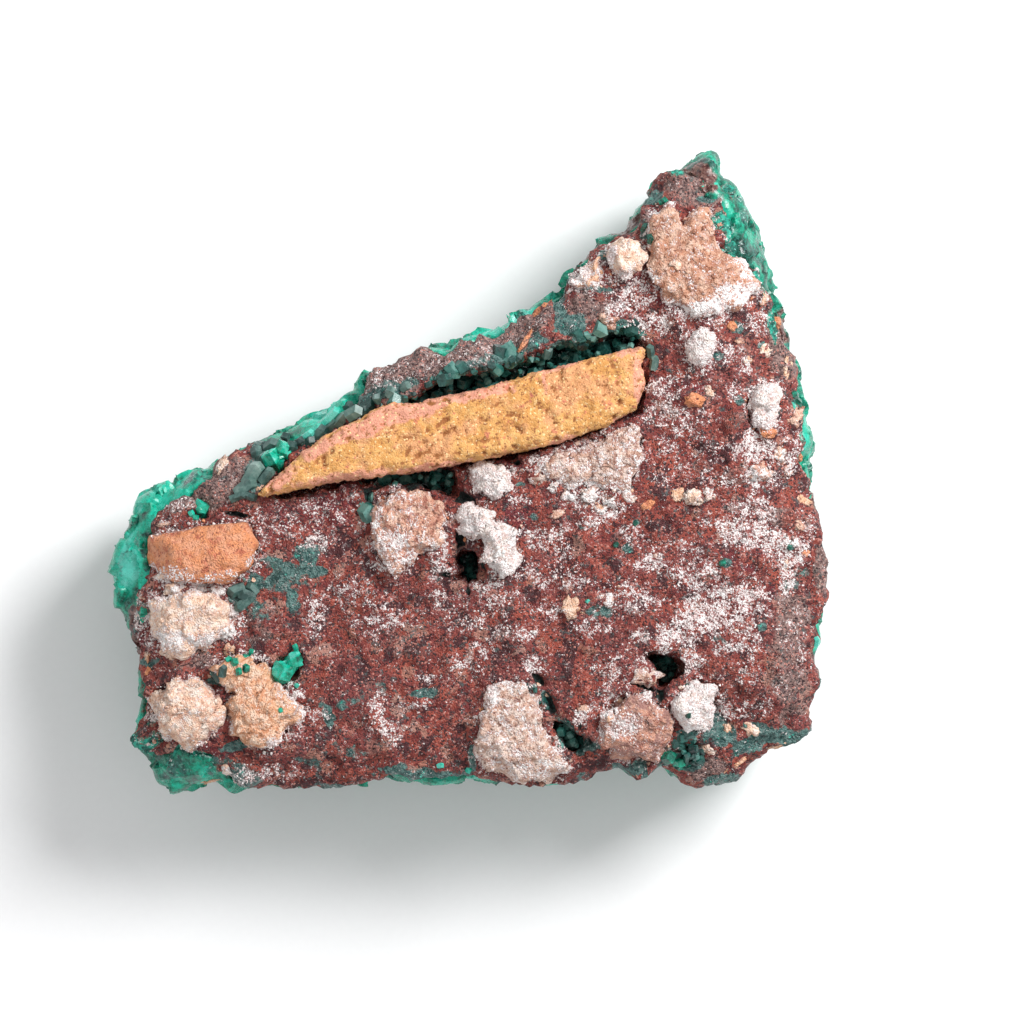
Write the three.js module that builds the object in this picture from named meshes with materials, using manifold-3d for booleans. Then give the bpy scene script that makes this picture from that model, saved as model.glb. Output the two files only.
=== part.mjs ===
// Dioptase cluster on matrix: a small cabinet specimen lying on its broken underside.
// A brick-red breccia, the matrix, holds paler fragments of rock (clasts) in its upper face, the largest
// an ochre blade. A crust of dioptase crystals grows round its sides and underneath and shows as a green rim.
// Millimetres, +Z up, origin under the middle of the specimen's box, on the surface that it rests on.
import * as THREE from "three";
import { mergeGeometries, mergeVertices } from "three/addons/utils/BufferGeometryUtils.js";
import { ImprovedNoise } from "three/addons/math/ImprovedNoise.js";
import Module from "manifold-3d";

const wasm = await Module();
wasm.setup();

// ---- Driving dimensions ----
const FACE_HEIGHT = 21.5; // of the broken upper face above the table
const FACE_TILT = 0.022; // rise of that face per millimetre towards +X
const EDGE_DROP = 2.2; // how far the face rounds down at its edge
const EDGE_WIDTH = 3.2; // width of that rounding
const FIT_GAP = 0.4; // offset of a socket from the piece in it, along a slant: its walls stand about 0.3 off
const CRYSTAL_SLOPE = 1.15; // fall of a crystal's end faces per millimetre from its axis
const FACE_GRID = { front: 20, right: 17, back: 20, left: 17 }; // steps along each edge of the matrix
const CRUST_GRID = { front: 15, right: 14, back: 16, left: 9 }; // and of the crust

// ---- The outline in plan: [x, y, width of green crust that shows outside the red rock] ----
const BACK_EDGE = [
  [-35.2, -2.6, 3.0], [-32.1, -0.6, 3.2], [-29.0, 0.3, 2.4], [-26.2, 1.3, 0.8], [-22.9, 3.5, 1.4],
  [-19.6, 4.4, 2.2], [-15.4, 7.2, 2.6], [-12.7, 8.4, 2.0], [-10.5, 10.8, 1.2], [-7.7, 12.6, 1.2],
  [-4.5, 13.7, 0.8], [-2.0, 13.7, 1.2], [1.4, 15.0, 1.8], [4.9, 16.7, 1.6], [7.8, 18.6, 1.0],
  [10.4, 21.2, 0.3], [13.9, 24.6, 0.3], [17.1, 27.2, 0.5], [18.3, 30.4, 0.8], [20.9, 32.6, 1.0],
  [24.2, 33.6, 2.6],
];
const RIGHT_EDGE = [
  [35.2, -28.2, 0.4], [36.4, -23.4, 0.2], [36.6, -18.9, 1.0], [36.2, -17.1, 0.2], [37.3, -15.2, 0.2],
  [37.8, -9.4, 0.0], [37.0, -7.9, 0.1], [36.9, -5.1, 0.2], [36.0, -2.9, 1.4], [35.4, 0.4, 0.5],
  [36.0, 4.2, 1.2], [34.9, 8.4, 0.9], [34.4, 11.5, 0.6], [32.7, 16.5, 0.6], [32.4, 19.4, 1.3],
  [30.7, 23.8, 4.0], [29.6, 27.0, 3.8], [28.2, 29.2, 2.4], [26.8, 31.1, 1.4], [25.8, 32.8, 2.0],
  [24.2, 33.6, 2.6],
];
const FRONT_EDGE = [
  [-32.2, -33.7, 4.4], [-29.8, -34.0, 4.2], [-27.2, -33.3, 3.0], [-23.4, -33.7, 0.6], [-21.3, -33.1, 0.5],
  [-14.0, -33.2, 0.4], [-8.4, -32.1, 0.8], [-4.3, -32.0, 1.0], [-2.0, -32.4, 1.2], [2.0, -32.7, 1.0],
  [7.1, -33.3, 0.4], [12.3, -31.8, 0.3], [15.3, -31.6, 0.3], [20.2, -31.8, 0.2], [23.0, -33.4, 0.2],
  [25.4, -34.0, 0.2], [28.1, -32.4, 0.2], [31.1, -29.8, 0.3], [35.2, -28.2, 0.4],
];
const LEFT_EDGE = [
  [-32.2, -33.7, 4.4], [-32.9, -32.1, 3.6], [-35.0, -29.9, 2.2], [-35.6, -28.3, 1.4], [-34.6, -22.9, 0.6],
  [-34.9, -19.9, 0.5], [-35.5, -17.6, 1.4], [-36.6, -15.3, 2.0], [-37.7, -11.3, 3.9], [-37.5, -7.1, 3.8],
  [-36.0, -5.5, 2.6], [-35.2, -2.6, 3.0],
];
// The middle line of the plan, which the sides draw in towards below.
const CORE_LINE = [[-22, -15], [-12, -13], [-2, -11], [8, -9], [17, -6], [21, 3], [23, 12], [24.5, 20]];

// Side profiles: share of the face's height, share of the way to the core line, share of the rim's width.
const MATRIX_PROFILE = [
  { rise: 0, draw: 0.46, rim: 1 },
  { rise: 0.34, draw: 0.3, rim: 1 },
  { rise: 0.86, draw: 0.01, rim: 1 },
  { rise: 1, draw: 0.02, rim: 1 },
];
// The crust's profile runs up its outside, then down inside the matrix, whose cut takes that part away.
const CRUST_PROFILE = [
  { rise: 0.15, draw: 0.34, rim: 0 },
  { rise: 0.25, draw: 0.18, rim: 0 },
  { rise: 0.44, draw: 0.09, rim: 0 },
  { rise: 0.66, draw: 0.05, rim: 0.05 },
  { rise: 0.84, draw: 0.045, rim: 0.45 },
  { rise: 0.92, draw: 0.09, rim: 1 },
  { rise: 0.82, draw: 0.22, rim: 1 },
  { rise: 0.15, draw: 0.56, rim: 1 },
];
const OUTER_LEVELS = 5; // the levels of that profile whose strips are the crust's outside
// Where the rim is narrow, the crust stops lower and the red rock shows on the side.
const FULL_CRUST_RIM = 1.3;
const LOW_CRUST = 0.66;

// ---- Relief of the upper face: [x, y, radius, height] of each broad swell or hollow ----
const SWELLS = [
  [-9.0, 9.4, 4.5, 1.3], [-1.5, 12.2, 5.0, 1.7], [6.0, 15.4, 4.5, 1.3], [-25.5, -0.8, 4.0, 1.0],
  [13.0, -13.0, 13.0, 1.0], [24.5, 31.0, 5.0, -2.4], [27.0, -31.0, 5.0, -1.6], [-32.5, -32.0, 6.0, -2.0],
  [-14.0, -17.0, 8.0, -0.7], [30.0, 24.0, 4.5, -1.8], [33.0, -10.0, 6.0, -0.8], [-35.0, -8.0, 5.0, -1.6],
];
// Ledges: the ground to the right of the way from one end to the other lies lower.
const LEDGES = [
  { from: [31, -15], to: [26, 17], drop: 1.1 },
  { from: [19, -27.5], to: [34, -19.5], drop: 1.3 },
  { from: [-31, -30.5], to: [-15, -28.5], drop: 1.0 },
];
const LEDGE_WIDTH = 1.4;
const FACE_NOISE = [
  { size: 7.0, height: 0.9 },
  { size: 2.7, height: 0.75 },
];
const SIDE_NOISE = [
  { size: 6.5, height: 1.2 },
  { size: 2.4, height: 0.8 },
];
const CRUST_ROUGHNESS = 0.8; // how far the crust's corners stand in or out
const CRUST_POINTS = [0.5, 1.7]; // height of the low crystal points that cover it

// ---- Openings in the upper face: outline and depth ----
// The crevice runs along the back of the ochre blade and reaches in under it.
const CREVICE = {
  depth: 6,
  outline: [
    [-15.2, 3.2], [-13.4, 4.3], [-10.4, 6.4], [-3.7, 9.3], [-0.1, 10.7], [3.7, 10.9], [7.2, 12.6],
    [13.5, 14.3], [16.9, 15.1], [17.8, 13.6], [13.6, 11.0], [3.6, 7.9], [-9.8, 4.4], [-14.2, 2.2],
  ],
  path: [[-13.0, 3.6], [-8, 6.2], [-1, 8.6], [6, 10.2], [11, 12], [16, 13.8]], // its middle line
};
const VUGS = [
  {
    name: "vug_under_blade",
    depth: 5,
    outline: [[-11, -0.6], [-8.4, -0.8], [-5.2, -1.2], [-3.2, -2.2], [-0.9, -2.7], [-0.6, 0.9], [-9, 1.2]],
  },
  {
    name: "vug_middle",
    depth: 6,
    outline: [[-1.4, -7.6], [0.3, -7.6], [1.4, -10.6], [0.4, -12], [-2, -11.6]],
  },
  {
    name: "vug_front",
    depth: 4.5,
    outline: [[7.6, -24.9], [10.2, -26.2], [12.6, -28.4], [11, -29.6], [8.4, -27.8]],
  },
  {
    name: "vug_right",
    depth: 5.5,
    outline: [[18.4, -19], [21.4, -18.4], [22.4, -20], [20.6, -22.4], [19, -21.4]],
  },
  {
    name: "vug_corner",
    depth: 3.5,
    outline: [[21.5, -29], [23.6, -27.8], [25, -29], [24.2, -31], [22, -31]],
  },
];

// ---- Clasts: each has one or more lobes that rise above the face, and sits this deep in the matrix ----
const CLAST_DEPTH = 1.8;
const CLASTS = [
  {
    name: "terracotta_clast",
    color: 0xcb7d4f,
    lobes: [
      {
        height: 2.2,
        outline: [
          [-33.9, -6.5], [-30.6, -5.9], [-23.6, -5.1], [-22.4, -7.2], [-23.3, -9.9], [-25.5, -11.2],
          [-31.4, -11.2], [-34.0, -9.4],
        ],
      },
    ],
  },
  {
    name: "cream_clast_left",
    color: 0xdcb9a3,
    lobes: [
      {
        height: 2.3,
        outline: [
          [-33.9, -13.4], [-30.6, -12.4], [-27.6, -12.6], [-25.2, -13.6], [-25.5, -16.6], [-28.0, -18.3],
          [-31.0, -19.0], [-33.6, -16.6],
        ],
      },
    ],
  },
  {
    name: "cream_clast_front_left",
    color: 0xdcb49b,
    lobes: [
      {
        height: 2.4,
        outline: [
          [-33.6, -23.3], [-31.4, -21.9], [-28.5, -21.7], [-26.5, -23.6], [-26.6, -26.2], [-29.0, -28.6],
          [-31.6, -28.1], [-33.2, -25.6],
        ],
      },
    ],
  },
  {
    name: "peach_clast",
    color: 0xdd9f78,
    lobes: [
      {
        height: 1.5,
        outline: [
          [-27.2, -19.9], [-24.4, -18.9], [-21.3, -20.3], [-21.3, -22.6], [-23.4, -23.6], [-25.6, -22.4],
        ],
      },
      {
        height: 2.5,
        outline: [
          [-25.5, -23.4], [-23.2, -22.1], [-20.1, -22.5], [-17.8, -24.6], [-19.4, -27.4], [-22.2, -28.8],
          [-24.8, -27.0],
        ],
      },
    ],
  },
  {
    name: "rose_clast_middle",
    color: 0xd9a58f,
    lobes: [
      {
        height: 2.2,
        outline: [
          [-10.2, -4.4], [-8.2, -1.8], [-4.9, -1.9], [-2.2, -4.2], [-3.0, -7.2], [-6.0, -8.4], [-7.7, -10.4],
          [-9.6, -8.4],
        ],
      },
    ],
  },
  {
    name: "white_clast_middle",
    color: 0xe6dcd6,
    lobes: [
      {
        height: 1.9,
        outline: [[-1.4, -5.0], [-0.3, -3.3], [1.6, -3.3], [2.6, -5.2], [1.2, -7.1], [-0.6, -6.8]],
      },
      {
        height: 2.4,
        outline: [[1.0, -6.0], [2.8, -4.8], [4.6, -6.4], [4.7, -9.2], [3.0, -10.5], [1.4, -9.2]],
      },
    ],
  },
  {
    name: "white_clast_by_blade",
    color: 0xddd0ca,
    lobes: [
      {
        height: 1.5,
        outline: [[-0.1, 0.6], [1.8, 1.2], [4.0, 0.6], [4.1, -1.6], [2.4, -2.8], [0.4, -1.4]],
      },
    ],
  },
  {
    name: "pale_clast_by_blade",
    color: 0xd8bcae,
    lobes: [
      { height: 1.0, outline: [[6.0, 0.8], [9.3, 2.3], [12.8, 3.4], [13.2, 0.2], [11.2, -1.1], [8.4, -0.2]] },
      {
        height: 1.4,
        outline: [[12.0, 3.2], [14.2, 4.3], [17.1, 4.8], [17.8, 2.2], [16.4, -2.0], [12.4, -1.2]],
      },
    ],
  },
  {
    name: "salmon_clast_back",
    color: 0xd6a48a,
    lobes: [
      {
        height: 1.9,
        outline: [
          [19.2, 24.6], [23.2, 25.6], [27.4, 23.3], [30.0, 19.4], [27.7, 17.6], [24.4, 16.4], [20.6, 18.2],
          [18.7, 21.6],
        ],
      },
      { height: 1.5, outline: [[18.9, 27.3], [20.8, 28.0], [22.4, 25.2], [19.8, 23.8], [18.8, 25.6]] },
      { height: 1.6, outline: [[22.6, 25.6], [23.4, 27.5], [25.2, 28.0], [25.8, 25.6], [24.4, 23.6]] },
    ],
  },
  {
    name: "cream_clast_back",
    color: 0xdab3a0,
    lobes: [
      {
        height: 1.8,
        outline: [[14.4, 22.8], [15.6, 24.3], [17.4, 24.3], [18.0, 22.4], [16.6, 20.6], [15.0, 21.0]],
      },
    ],
  },
  {
    name: "tan_clast_back",
    color: 0xd9ac82,
    lobes: [{ height: 1.0, outline: [[10.8, 19.4], [11.8, 21.4], [13.8, 22.6], [13.7, 20.6], [12.1, 19.1]] }],
  },
  {
    name: "white_clast_back",
    color: 0xe0d3c9,
    lobes: [
      {
        height: 1.5,
        outline: [[22.6, 13.8], [24.0, 15.2], [25.4, 14.4], [25.2, 12.6], [24.0, 11.2], [22.8, 11.6]],
      },
    ],
  },
  {
    name: "white_clast_right",
    color: 0xe4dcd8,
    lobes: [
      {
        height: 1.4,
        outline: [[29.1, 7.6], [30.4, 9.5], [32.2, 9.2], [32.3, 6.4], [31.0, 4.4], [29.4, 5.2]],
      },
    ],
  },
  {
    name: "pale_clast_front",
    color: 0xd9c0b2,
    lobes: [
      {
        height: 1.5,
        outline: [
          [0.5, -28.7], [0.9, -25.5], [2.0, -22.3], [5.4, -21.5], [6.9, -24.2], [7.8, -28.0], [10.4, -30.6],
          [8.9, -31.8], [4.6, -31.8], [1.6, -31.0],
        ],
      },
    ],
  },
  {
    name: "rose_clast_front",
    color: 0xbf8672,
    lobes: [
      {
        height: 1.7,
        outline: [
          [13.6, -25.6], [15.4, -23.4], [18.6, -23.2], [20.6, -25.6], [20.9, -28.2], [18.7, -29.9],
          [15.4, -29.4], [13.4, -27.8],
        ],
      },
    ],
  },
  {
    name: "white_clast_front",
    color: 0xe3d6d0,
    lobes: [
      {
        height: 1.4,
        outline: [[21.3, -24.4], [22.8, -21.8], [25.6, -22.1], [26.3, -24.6], [24.6, -26.9], [22.0, -26.5]],
      },
    ],
  },
];

// ---- The ochre blade: a flat shard of sandstone that stands out of the face ----
const BLADE = {
  top: 24.2, // height of its flat top at x = 0
  thickness: 5.2,
  bevel: 0.55,
  tilt: 0.035, // rise of the top per millimetre towards its right end
  outline: [
    [-22.4, -2.3], [-19.0, 0.7], [-15.6, 3.6], [-10.1, 6.2], [0.5, 8.6], [9.3, 11.0], [17.9, 13.1],
    [17.4, 11.3], [17.9, 9.7], [17.1, 7.0], [13.5, 5.0], [9.3, 3.5], [-4.3, 0.7], [-14.8, -0.6],
    [-19.2, -1.6],
  ],
};

// ---- Dioptase ----
// Rows of crystals on the crust: level of its profile, count, outward reach, and lean up or down.
const CRYSTAL_ROWS = [
  { level: 3.5, count: 36, leastRim: 2.2, radius: [1.8, 2.6], reach: [1.4, 2.3], lean: 1.6 },
  { level: 2.7, count: 12, leastRim: 0, radius: [1.9, 2.7], reach: [0.8, 1.3], lean: 0.2 },
  { level: 1.8, count: 14, leastRim: 0, radius: [2.2, 3.1], reach: [2.2, 3.4], lean: -0.3 },
  { level: 0.7, count: 9, leastRim: 0, radius: [1.6, 2.2], reach: [1.2, 2.0], lean: -1.1 },
];
const EDGE_SHARES = { front: 0.28, right: 0.26, back: 0.3, left: 0.16 }; // of a row, by the edges' lengths
const CLEAR_OF_TABLE = 0.5; // every crystal stays this far above the table
const ROOT_DEPTH = 1.3; // depth of a crystal's root in the crust
const CRYSTAL_SCATTER = 0.6; // how far the ways they point vary
// Crystals that stand alone on the face: [x, y, way it points, radius, height above the face]
const FACE_CRYSTALS = [
  {
    name: "dioptase_by_peach_clast",
    crystals: [[-19.8, -20.7, [0.2, 0.3, 1], 1.25, 1.6], [-18.6, -19.6, [0.6, 0.5, 1], 0.9, 1.3]],
  },
  {
    name: "dioptase_by_blade",
    crystals: [[-20.9, 1.6, [-0.2, 0.5, 1], 1.15, 1.5], [-19.9, 2.7, [0.3, 0.4, 1], 0.8, 1.2]],
  },
  { name: "dioptase_by_terracotta_clast", crystals: [[-28.3, -3.6, [0, 0.5, 1], 0.8, 1.3]] },
];
const FACE_CRYSTAL_ROOT = 1.2;
// Crystals on the floors of the openings.
const CREVICE_CRYSTALS = { count: 7, radius: [1.3, 1.9], length: [1.6, 3.2], series: 80 };
const VUG_CRYSTALS = { count: 2, radius: [0.8, 1.2], length: [0.8, 2.0], series: 90 };
const BED_DEPTH = 1.2; // of the crust that they stand on
const LINING_ROOT = 1;

// ---- Shared helpers ----
const noiseField = new ImprovedNoise();
const noise = (x, y, z, layers) =>
  layers.reduce((sum, { size, height }) => sum + height * noiseField.noise(x / size, y / size, z / size), 0);
// A repeatable value from 0 to 1 for step i of a series.
const scatter = (i, series) => {
  const wave = Math.sin(i * 127.1 + series * 311.7) * 43758.5453;
  return wave - Math.floor(wave);
};
const between = ([low, high], share) => low + (high - low) * share;
const middleOf = (outline) =>
  outline.reduce(([sx, sy], [x, y]) => [sx + x / outline.length, sy + y / outline.length], [0, 0]);

function bareGeometry(geometry) {
  const bare = geometry.index ? geometry.toNonIndexed() : geometry.clone();
  bare.deleteAttribute("normal");
  bare.deleteAttribute("uv");
  return mergeVertices(bare, 1e-4);
}

function solidOf(geometry) {
  const bare = bareGeometry(geometry);
  const vertProperties = bare.attributes.position.array;
  const triVerts = new Uint32Array(bare.index.array);
  return new wasm.Manifold(new wasm.Mesh({ numProp: 3, vertProperties, triVerts }));
}

function geometryOf(solid) {
  const mesh = solid.getMesh();
  const geometry = new THREE.BufferGeometry();
  geometry.setAttribute("position", new THREE.BufferAttribute(mesh.vertProperties, 3));
  geometry.setIndex(new THREE.BufferAttribute(mesh.triVerts, 1));
  const faceted = geometry.toNonIndexed();
  faceted.computeVertexNormals();
  return faceted;
}

// The same surface moved outwards by gap, or inwards where gap is negative.
function grown(geometry, gap) {
  const bare = bareGeometry(geometry);
  bare.computeVertexNormals();
  const { position, normal } = bare.attributes;
  for (let i = 0; i < position.count; i++) {
    const at = new THREE.Vector3().fromBufferAttribute(position, i);
    at.addScaledVector(new THREE.Vector3().fromBufferAttribute(normal, i), gap);
    position.setXYZ(i, at.x, at.y, at.z);
  }
  return bare;
}

function indexedGeometry(points, faces) {
  return new THREE.BufferGeometry()
    .setAttribute("position", new THREE.Float32BufferAttribute(points, 3))
    .setIndex(faces);
}

const joined = (geometries) => geometries.map(solidOf).reduce((whole, solid) => whole.add(solid));
const cutBy = (solid, cutters) => cutters.reduce((rest, cutter) => rest.subtract(cutter), solid);
// A cut can leave crumbs beside the main body: only that body is kept.
const larger = (a, b) => (b.volume() > a.volume() ? b : a);
const mainBody = (solid) => solid.decompose().reduce(larger);

// ---- The plan ----
function edgeCurve(points) {
  const curve = new THREE.CatmullRomCurve3(points.map(([x, y, rim]) => new THREE.Vector3(x, y, rim)));
  curve.arcLengthDivisions = 600;
  return curve;
}
const EDGES = {
  front: edgeCurve(FRONT_EDGE),
  right: edgeCurve(RIGHT_EDGE),
  back: edgeCurve(BACK_EDGE),
  left: edgeCurve(LEFT_EDGE),
};

// Points of the outline in order, anticlockwise from the front left corner. Their z is the rim's width.
function outlineLoop(steps) {
  const along = (name, forwards) =>
    Array.from({ length: steps[name] }, (_, i) => {
      const share = i / steps[name];
      return EDGES[name].getPointAt(forwards ? share : 1 - share);
    });
  return [...along("front", true), ...along("right", true), ...along("back", false), ...along("left", false)];
}

// The place on the core line to draw in to: a mean of its points that favours the nearest.
function coreNear(x, y) {
  const core = new THREE.Vector2();
  let total = 0;
  for (const [cx, cy] of CORE_LINE) {
    const weight = 1 / ((x - cx) ** 2 + (y - cy) ** 2 + 1) ** 2;
    core.x += weight * cx;
    core.y += weight * cy;
    total += weight;
  }
  return core.divideScalar(total);
}

const outwardAt = (x, y) => new THREE.Vector2(x, y).sub(coreNear(x, y)).normalize();

// A point of the outline drawn in as one level of a profile says.
function drawnIn(point, level) {
  const core = coreNear(point.x, point.y);
  const target = new THREE.Vector3(core.x, core.y, point.z);
  return point.clone().lerp(target, level.draw + (level.rim * point.z) / target.distanceTo(point));
}

// Fills the plan from its four edges, for u and v from 0 to 1: a Coons patch.
function planPoint(u, v, level) {
  const at = (name, share) => drawnIn(EDGES[name].getPointAt(share), level);
  return new THREE.Vector3()
    .addScaledVector(at("front", u), 1 - v)
    .addScaledVector(at("back", u), v)
    .addScaledVector(at("left", v), 1 - u)
    .addScaledVector(at("right", v), u)
    .addScaledVector(at("front", 0), -(1 - u) * (1 - v))
    .addScaledVector(at("front", 1), -u * (1 - v))
    .addScaledVector(at("back", 0), -(1 - u) * v)
    .addScaledVector(at("back", 1), -u * v);
}

const FACE_LEVEL = MATRIX_PROFILE[MATRIX_PROFILE.length - 1];
const FINE_GRID = { front: 50, right: 50, back: 50, left: 30 };
const FACE_OUTLINE = outlineLoop(FINE_GRID).map((point) => drawnIn(point, FACE_LEVEL));
const distanceToEdge = (x, y) => Math.min(...FACE_OUTLINE.map((p) => Math.hypot(p.x - x, p.y - y)));

// How far one ledge lowers the ground: fully beyond it, and less and less past its ends.
function ledgeDrop(x, y, { from, to, drop }) {
  const along = new THREE.Vector2(to[0] - from[0], to[1] - from[1]);
  const length = along.length();
  along.normalize();
  const way = new THREE.Vector2(x - from[0], y - from[1]);
  const beyond = THREE.MathUtils.smoothstep(along.cross(way) * -1, 0, LEDGE_WIDTH);
  const start = THREE.MathUtils.smoothstep(way.dot(along), -2 * LEDGE_WIDTH, 0);
  const end = THREE.MathUtils.smoothstep(way.dot(along), length, length + 2 * LEDGE_WIDTH);
  return drop * beyond * start * (1 - end);
}

// Height of the matrix's upper face above the table.
function faceHeight(x, y) {
  const swell = SWELLS.reduce((sum, [sx, sy, radius, height]) => {
    const distance = Math.hypot(x - sx, y - sy);
    return sum + height * Math.exp(-((distance / radius) ** 2));
  }, 0);
  const ledges = LEDGES.reduce((sum, ledge) => sum + ledgeDrop(x, y, ledge), 0);
  const nearEdge = Math.max(0, 1 - distanceToEdge(x, y) / EDGE_WIDTH);
  const relief = swell + noise(x, y, 0, FACE_NOISE) - ledges - EDGE_DROP * nearEdge ** 2;
  return FACE_HEIGHT + FACE_TILT * x + relief;
}

// ---- The matrix ----
function matrixGeometry() {
  const layers = MATRIX_PROFILE.length - 1;
  const box = new THREE.BoxGeometry(1, 1, 1, FACE_GRID.front, FACE_GRID.right, layers);
  const { position } = box.attributes;
  for (let i = 0; i < position.count; i++) {
    const level = Math.round((position.getZ(i) + 0.5) * layers);
    const point = planPoint(position.getX(i) + 0.5, position.getY(i) + 0.5, MATRIX_PROFILE[level]);
    const height = faceHeight(point.x, point.y) * MATRIX_PROFILE[level].rise;
    const bump = level > 0 && level < layers ? noise(point.x, point.y, height, SIDE_NOISE) : 0;
    const outward = outwardAt(point.x, point.y);
    position.setXYZ(i, point.x + outward.x * bump, point.y + outward.y * bump, height);
  }
  // The flat base takes the place of the box's sixth side.
  const sides = indexedGeometry(position.array, [...box.index.array].slice(0, box.groups[5].start));
  const ring = outlineLoop(FACE_GRID).map((point) => drawnIn(point, MATRIX_PROFILE[0]));
  const fill = THREE.ShapeUtils.triangulateShape(ring.map(({ x, y }) => new THREE.Vector2(x, y)), []);
  const base = indexedGeometry(ring.flatMap(({ x, y }) => [x, y, 0]), fill.flatMap(([a, b, c]) => [a, c, b]));
  return mergeGeometries([sides, base]);
}

// A solid between rings that follow an outline. Each ring is drawn in by its inset and follows its height.
const NARROWEST = 0.12;
function ringGeometry(outline, rings) {
  const [cx, cy] = middleOf(outline);
  const points = [];
  for (const { inset, height } of rings) {
    for (const [x, y] of outline) {
      const away = Math.hypot(x - cx, y - cy);
      const share = Math.max(NARROWEST, 1 - inset(away) / away);
      const [px, py] = [cx + (x - cx) * share, cy + (y - cy) * share];
      points.push(px, py, height(px, py));
    }
  }
  points.push(cx, cy, rings[0].height(cx, cy), cx, cy, rings[rings.length - 1].height(cx, cy));
  const n = outline.length;
  const [bottom, top] = [rings.length * n, rings.length * n + 1];
  const faces = [];
  for (let i = 0; i < n; i++) {
    const next = (i + 1) % n;
    for (let low = 0; low < bottom - n; low += n) {
      faces.push(low + i, low + next + n, low + next, low + i, low + i + n, low + next + n);
    }
    faces.push(bottom, i, next, top, bottom - n + next, bottom - n + i);
  }
  // The faces above suit a clockwise outline.
  const clockwise = THREE.ShapeUtils.isClockWise(outline.map(([x, y]) => new THREE.Vector2(x, y)));
  return indexedGeometry(points, clockwise ? faces : faces.reverse());
}

// A clast's lobe: sunk in the face, steep at its foot and lumpy on top.
function lobeGeometry({ outline, height }) {
  const lump = (x, y) => 0.3 * height * noiseField.noise(x / 1.6, y / 1.6, 4.2);
  return ringGeometry(outline, [
    { inset: () => 0.7, height: (x, y) => faceHeight(x, y) - CLAST_DEPTH },
    { inset: () => 0, height: (x, y) => faceHeight(x, y) + 0.1 * height },
    { inset: () => 0.35, height: (x, y) => faceHeight(x, y) + 0.72 * height + 0.5 * lump(x, y) },
    { inset: (away) => 0.5 * away, height: (x, y) => faceHeight(x, y) + height + lump(x, y) },
  ]);
}

// The tool for its socket, which reaches clear of the face.
const CLEAR_OF_FACE = 5;
function socketGeometry({ outline }) {
  return ringGeometry(outline, [
    { inset: () => 0.7 - FIT_GAP, height: (x, y) => faceHeight(x, y) - CLAST_DEPTH - FIT_GAP },
    { inset: () => -FIT_GAP, height: (x, y) => faceHeight(x, y) },
    { inset: () => -FIT_GAP, height: (x, y) => faceHeight(x, y) + CLEAR_OF_FACE },
  ]);
}

// The tool that opens a vug, which narrows downwards, or the room that is left in it inside a gap.
function vugGeometry({ outline, depth }, gap = 0) {
  return ringGeometry(outline, [
    { inset: (away) => 0.25 * away + gap, height: () => FACE_HEIGHT - depth + gap },
    { inset: (away) => gap - 0.1 * away, height: () => FACE_HEIGHT + CLEAR_OF_FACE },
  ]);
}

// The same outline with each side moved outwards by offset: each corner moves along its bisector.
function offsetOutline(outline, offset) {
  const clockwise = THREE.ShapeUtils.isClockWise(outline.map(([x, y]) => new THREE.Vector2(x, y)));
  const side = clockwise ? -1 : 1;
  return outline.map(([x, y], i) => {
    const [bx, by] = outline.at(i - 1);
    const [nx, ny] = outline[(i + 1) % outline.length];
    const before = new THREE.Vector2(y - by, bx - x).normalize();
    const after = new THREE.Vector2(ny - y, x - nx).normalize();
    const bisector = before.add(after);
    const move = (2 * side * offset) / Math.max(bisector.lengthSq(), 1);
    return [x + bisector.x * move, y + bisector.y * move];
  });
}

// An outline raised from low to high, its edges cut back by bevel.
function extrudedGeometry(outline, low, high, bevel = 0) {
  const shape = new THREE.Shape(outline.map(([x, y]) => new THREE.Vector2(x, y)));
  const geometry = new THREE.ExtrudeGeometry(shape, {
    depth: high - low - 2 * bevel,
    bevelEnabled: bevel > 0,
    bevelThickness: bevel,
    bevelSize: bevel,
    bevelOffset: -bevel,
    bevelSegments: 1,
  });
  return geometry.translate(0, 0, low + bevel);
}

function tilted(geometry) {
  const { position } = geometry.attributes;
  for (let i = 0; i < position.count; i++) {
    position.setZ(i, position.getZ(i) + BLADE.tilt * position.getX(i));
  }
  return geometry;
}

const BLADE_FLOOR = BLADE.top - BLADE.thickness;
const bladeGeometry = () => tilted(extrudedGeometry(BLADE.outline, BLADE_FLOOR, BLADE.top, BLADE.bevel));
function bladeSocketGeometry() {
  const outline = offsetOutline(BLADE.outline, FIT_GAP);
  return tilted(extrudedGeometry(outline, BLADE_FLOOR - FIT_GAP, BLADE.top + CLEAR_OF_FACE));
}

// ---- Dioptase crystals ----
// A six-sided prism whose end is three rhombic faces that meet in a point, one over every other prism face.
function crystalGeometry(radius, length, root) {
  const points = [0, 0, length];
  const corner = (i, height) => {
    const angle = (i * Math.PI) / 3;
    points.push(radius * Math.cos(angle), radius * Math.sin(angle), height);
  };
  for (let i = 0; i < 6; i++) {
    corner(i, length - CRYSTAL_SLOPE * radius * (i % 2 ? 0.5 : 1));
  }
  for (let i = 0; i < 6; i++) {
    corner(i, -root);
  }
  const faces = [7, 9, 8, 7, 10, 9, 7, 11, 10, 7, 12, 11];
  for (let i = 0; i < 6; i++) {
    const next = (i + 1) % 6;
    faces.push(1 + i, 7 + i, 7 + next, 1 + i, 7 + next, 1 + next, 0, 1 + i, 1 + next);
  }
  return indexedGeometry(points, faces);
}

function placedCrystal(at, way, radius, length, twist, root = ROOT_DEPTH) {
  const turn = new THREE.Quaternion().setFromUnitVectors(new THREE.Vector3(0, 0, 1), way.clone().normalize());
  return crystalGeometry(radius, length, root)
    .rotateZ(twist)
    .applyQuaternion(turn)
    .translate(at.x, at.y, at.z);
}

const lowestPoint = (geometry) => new THREE.Box3().setFromBufferAttribute(geometry.attributes.position).min.z;

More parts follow.
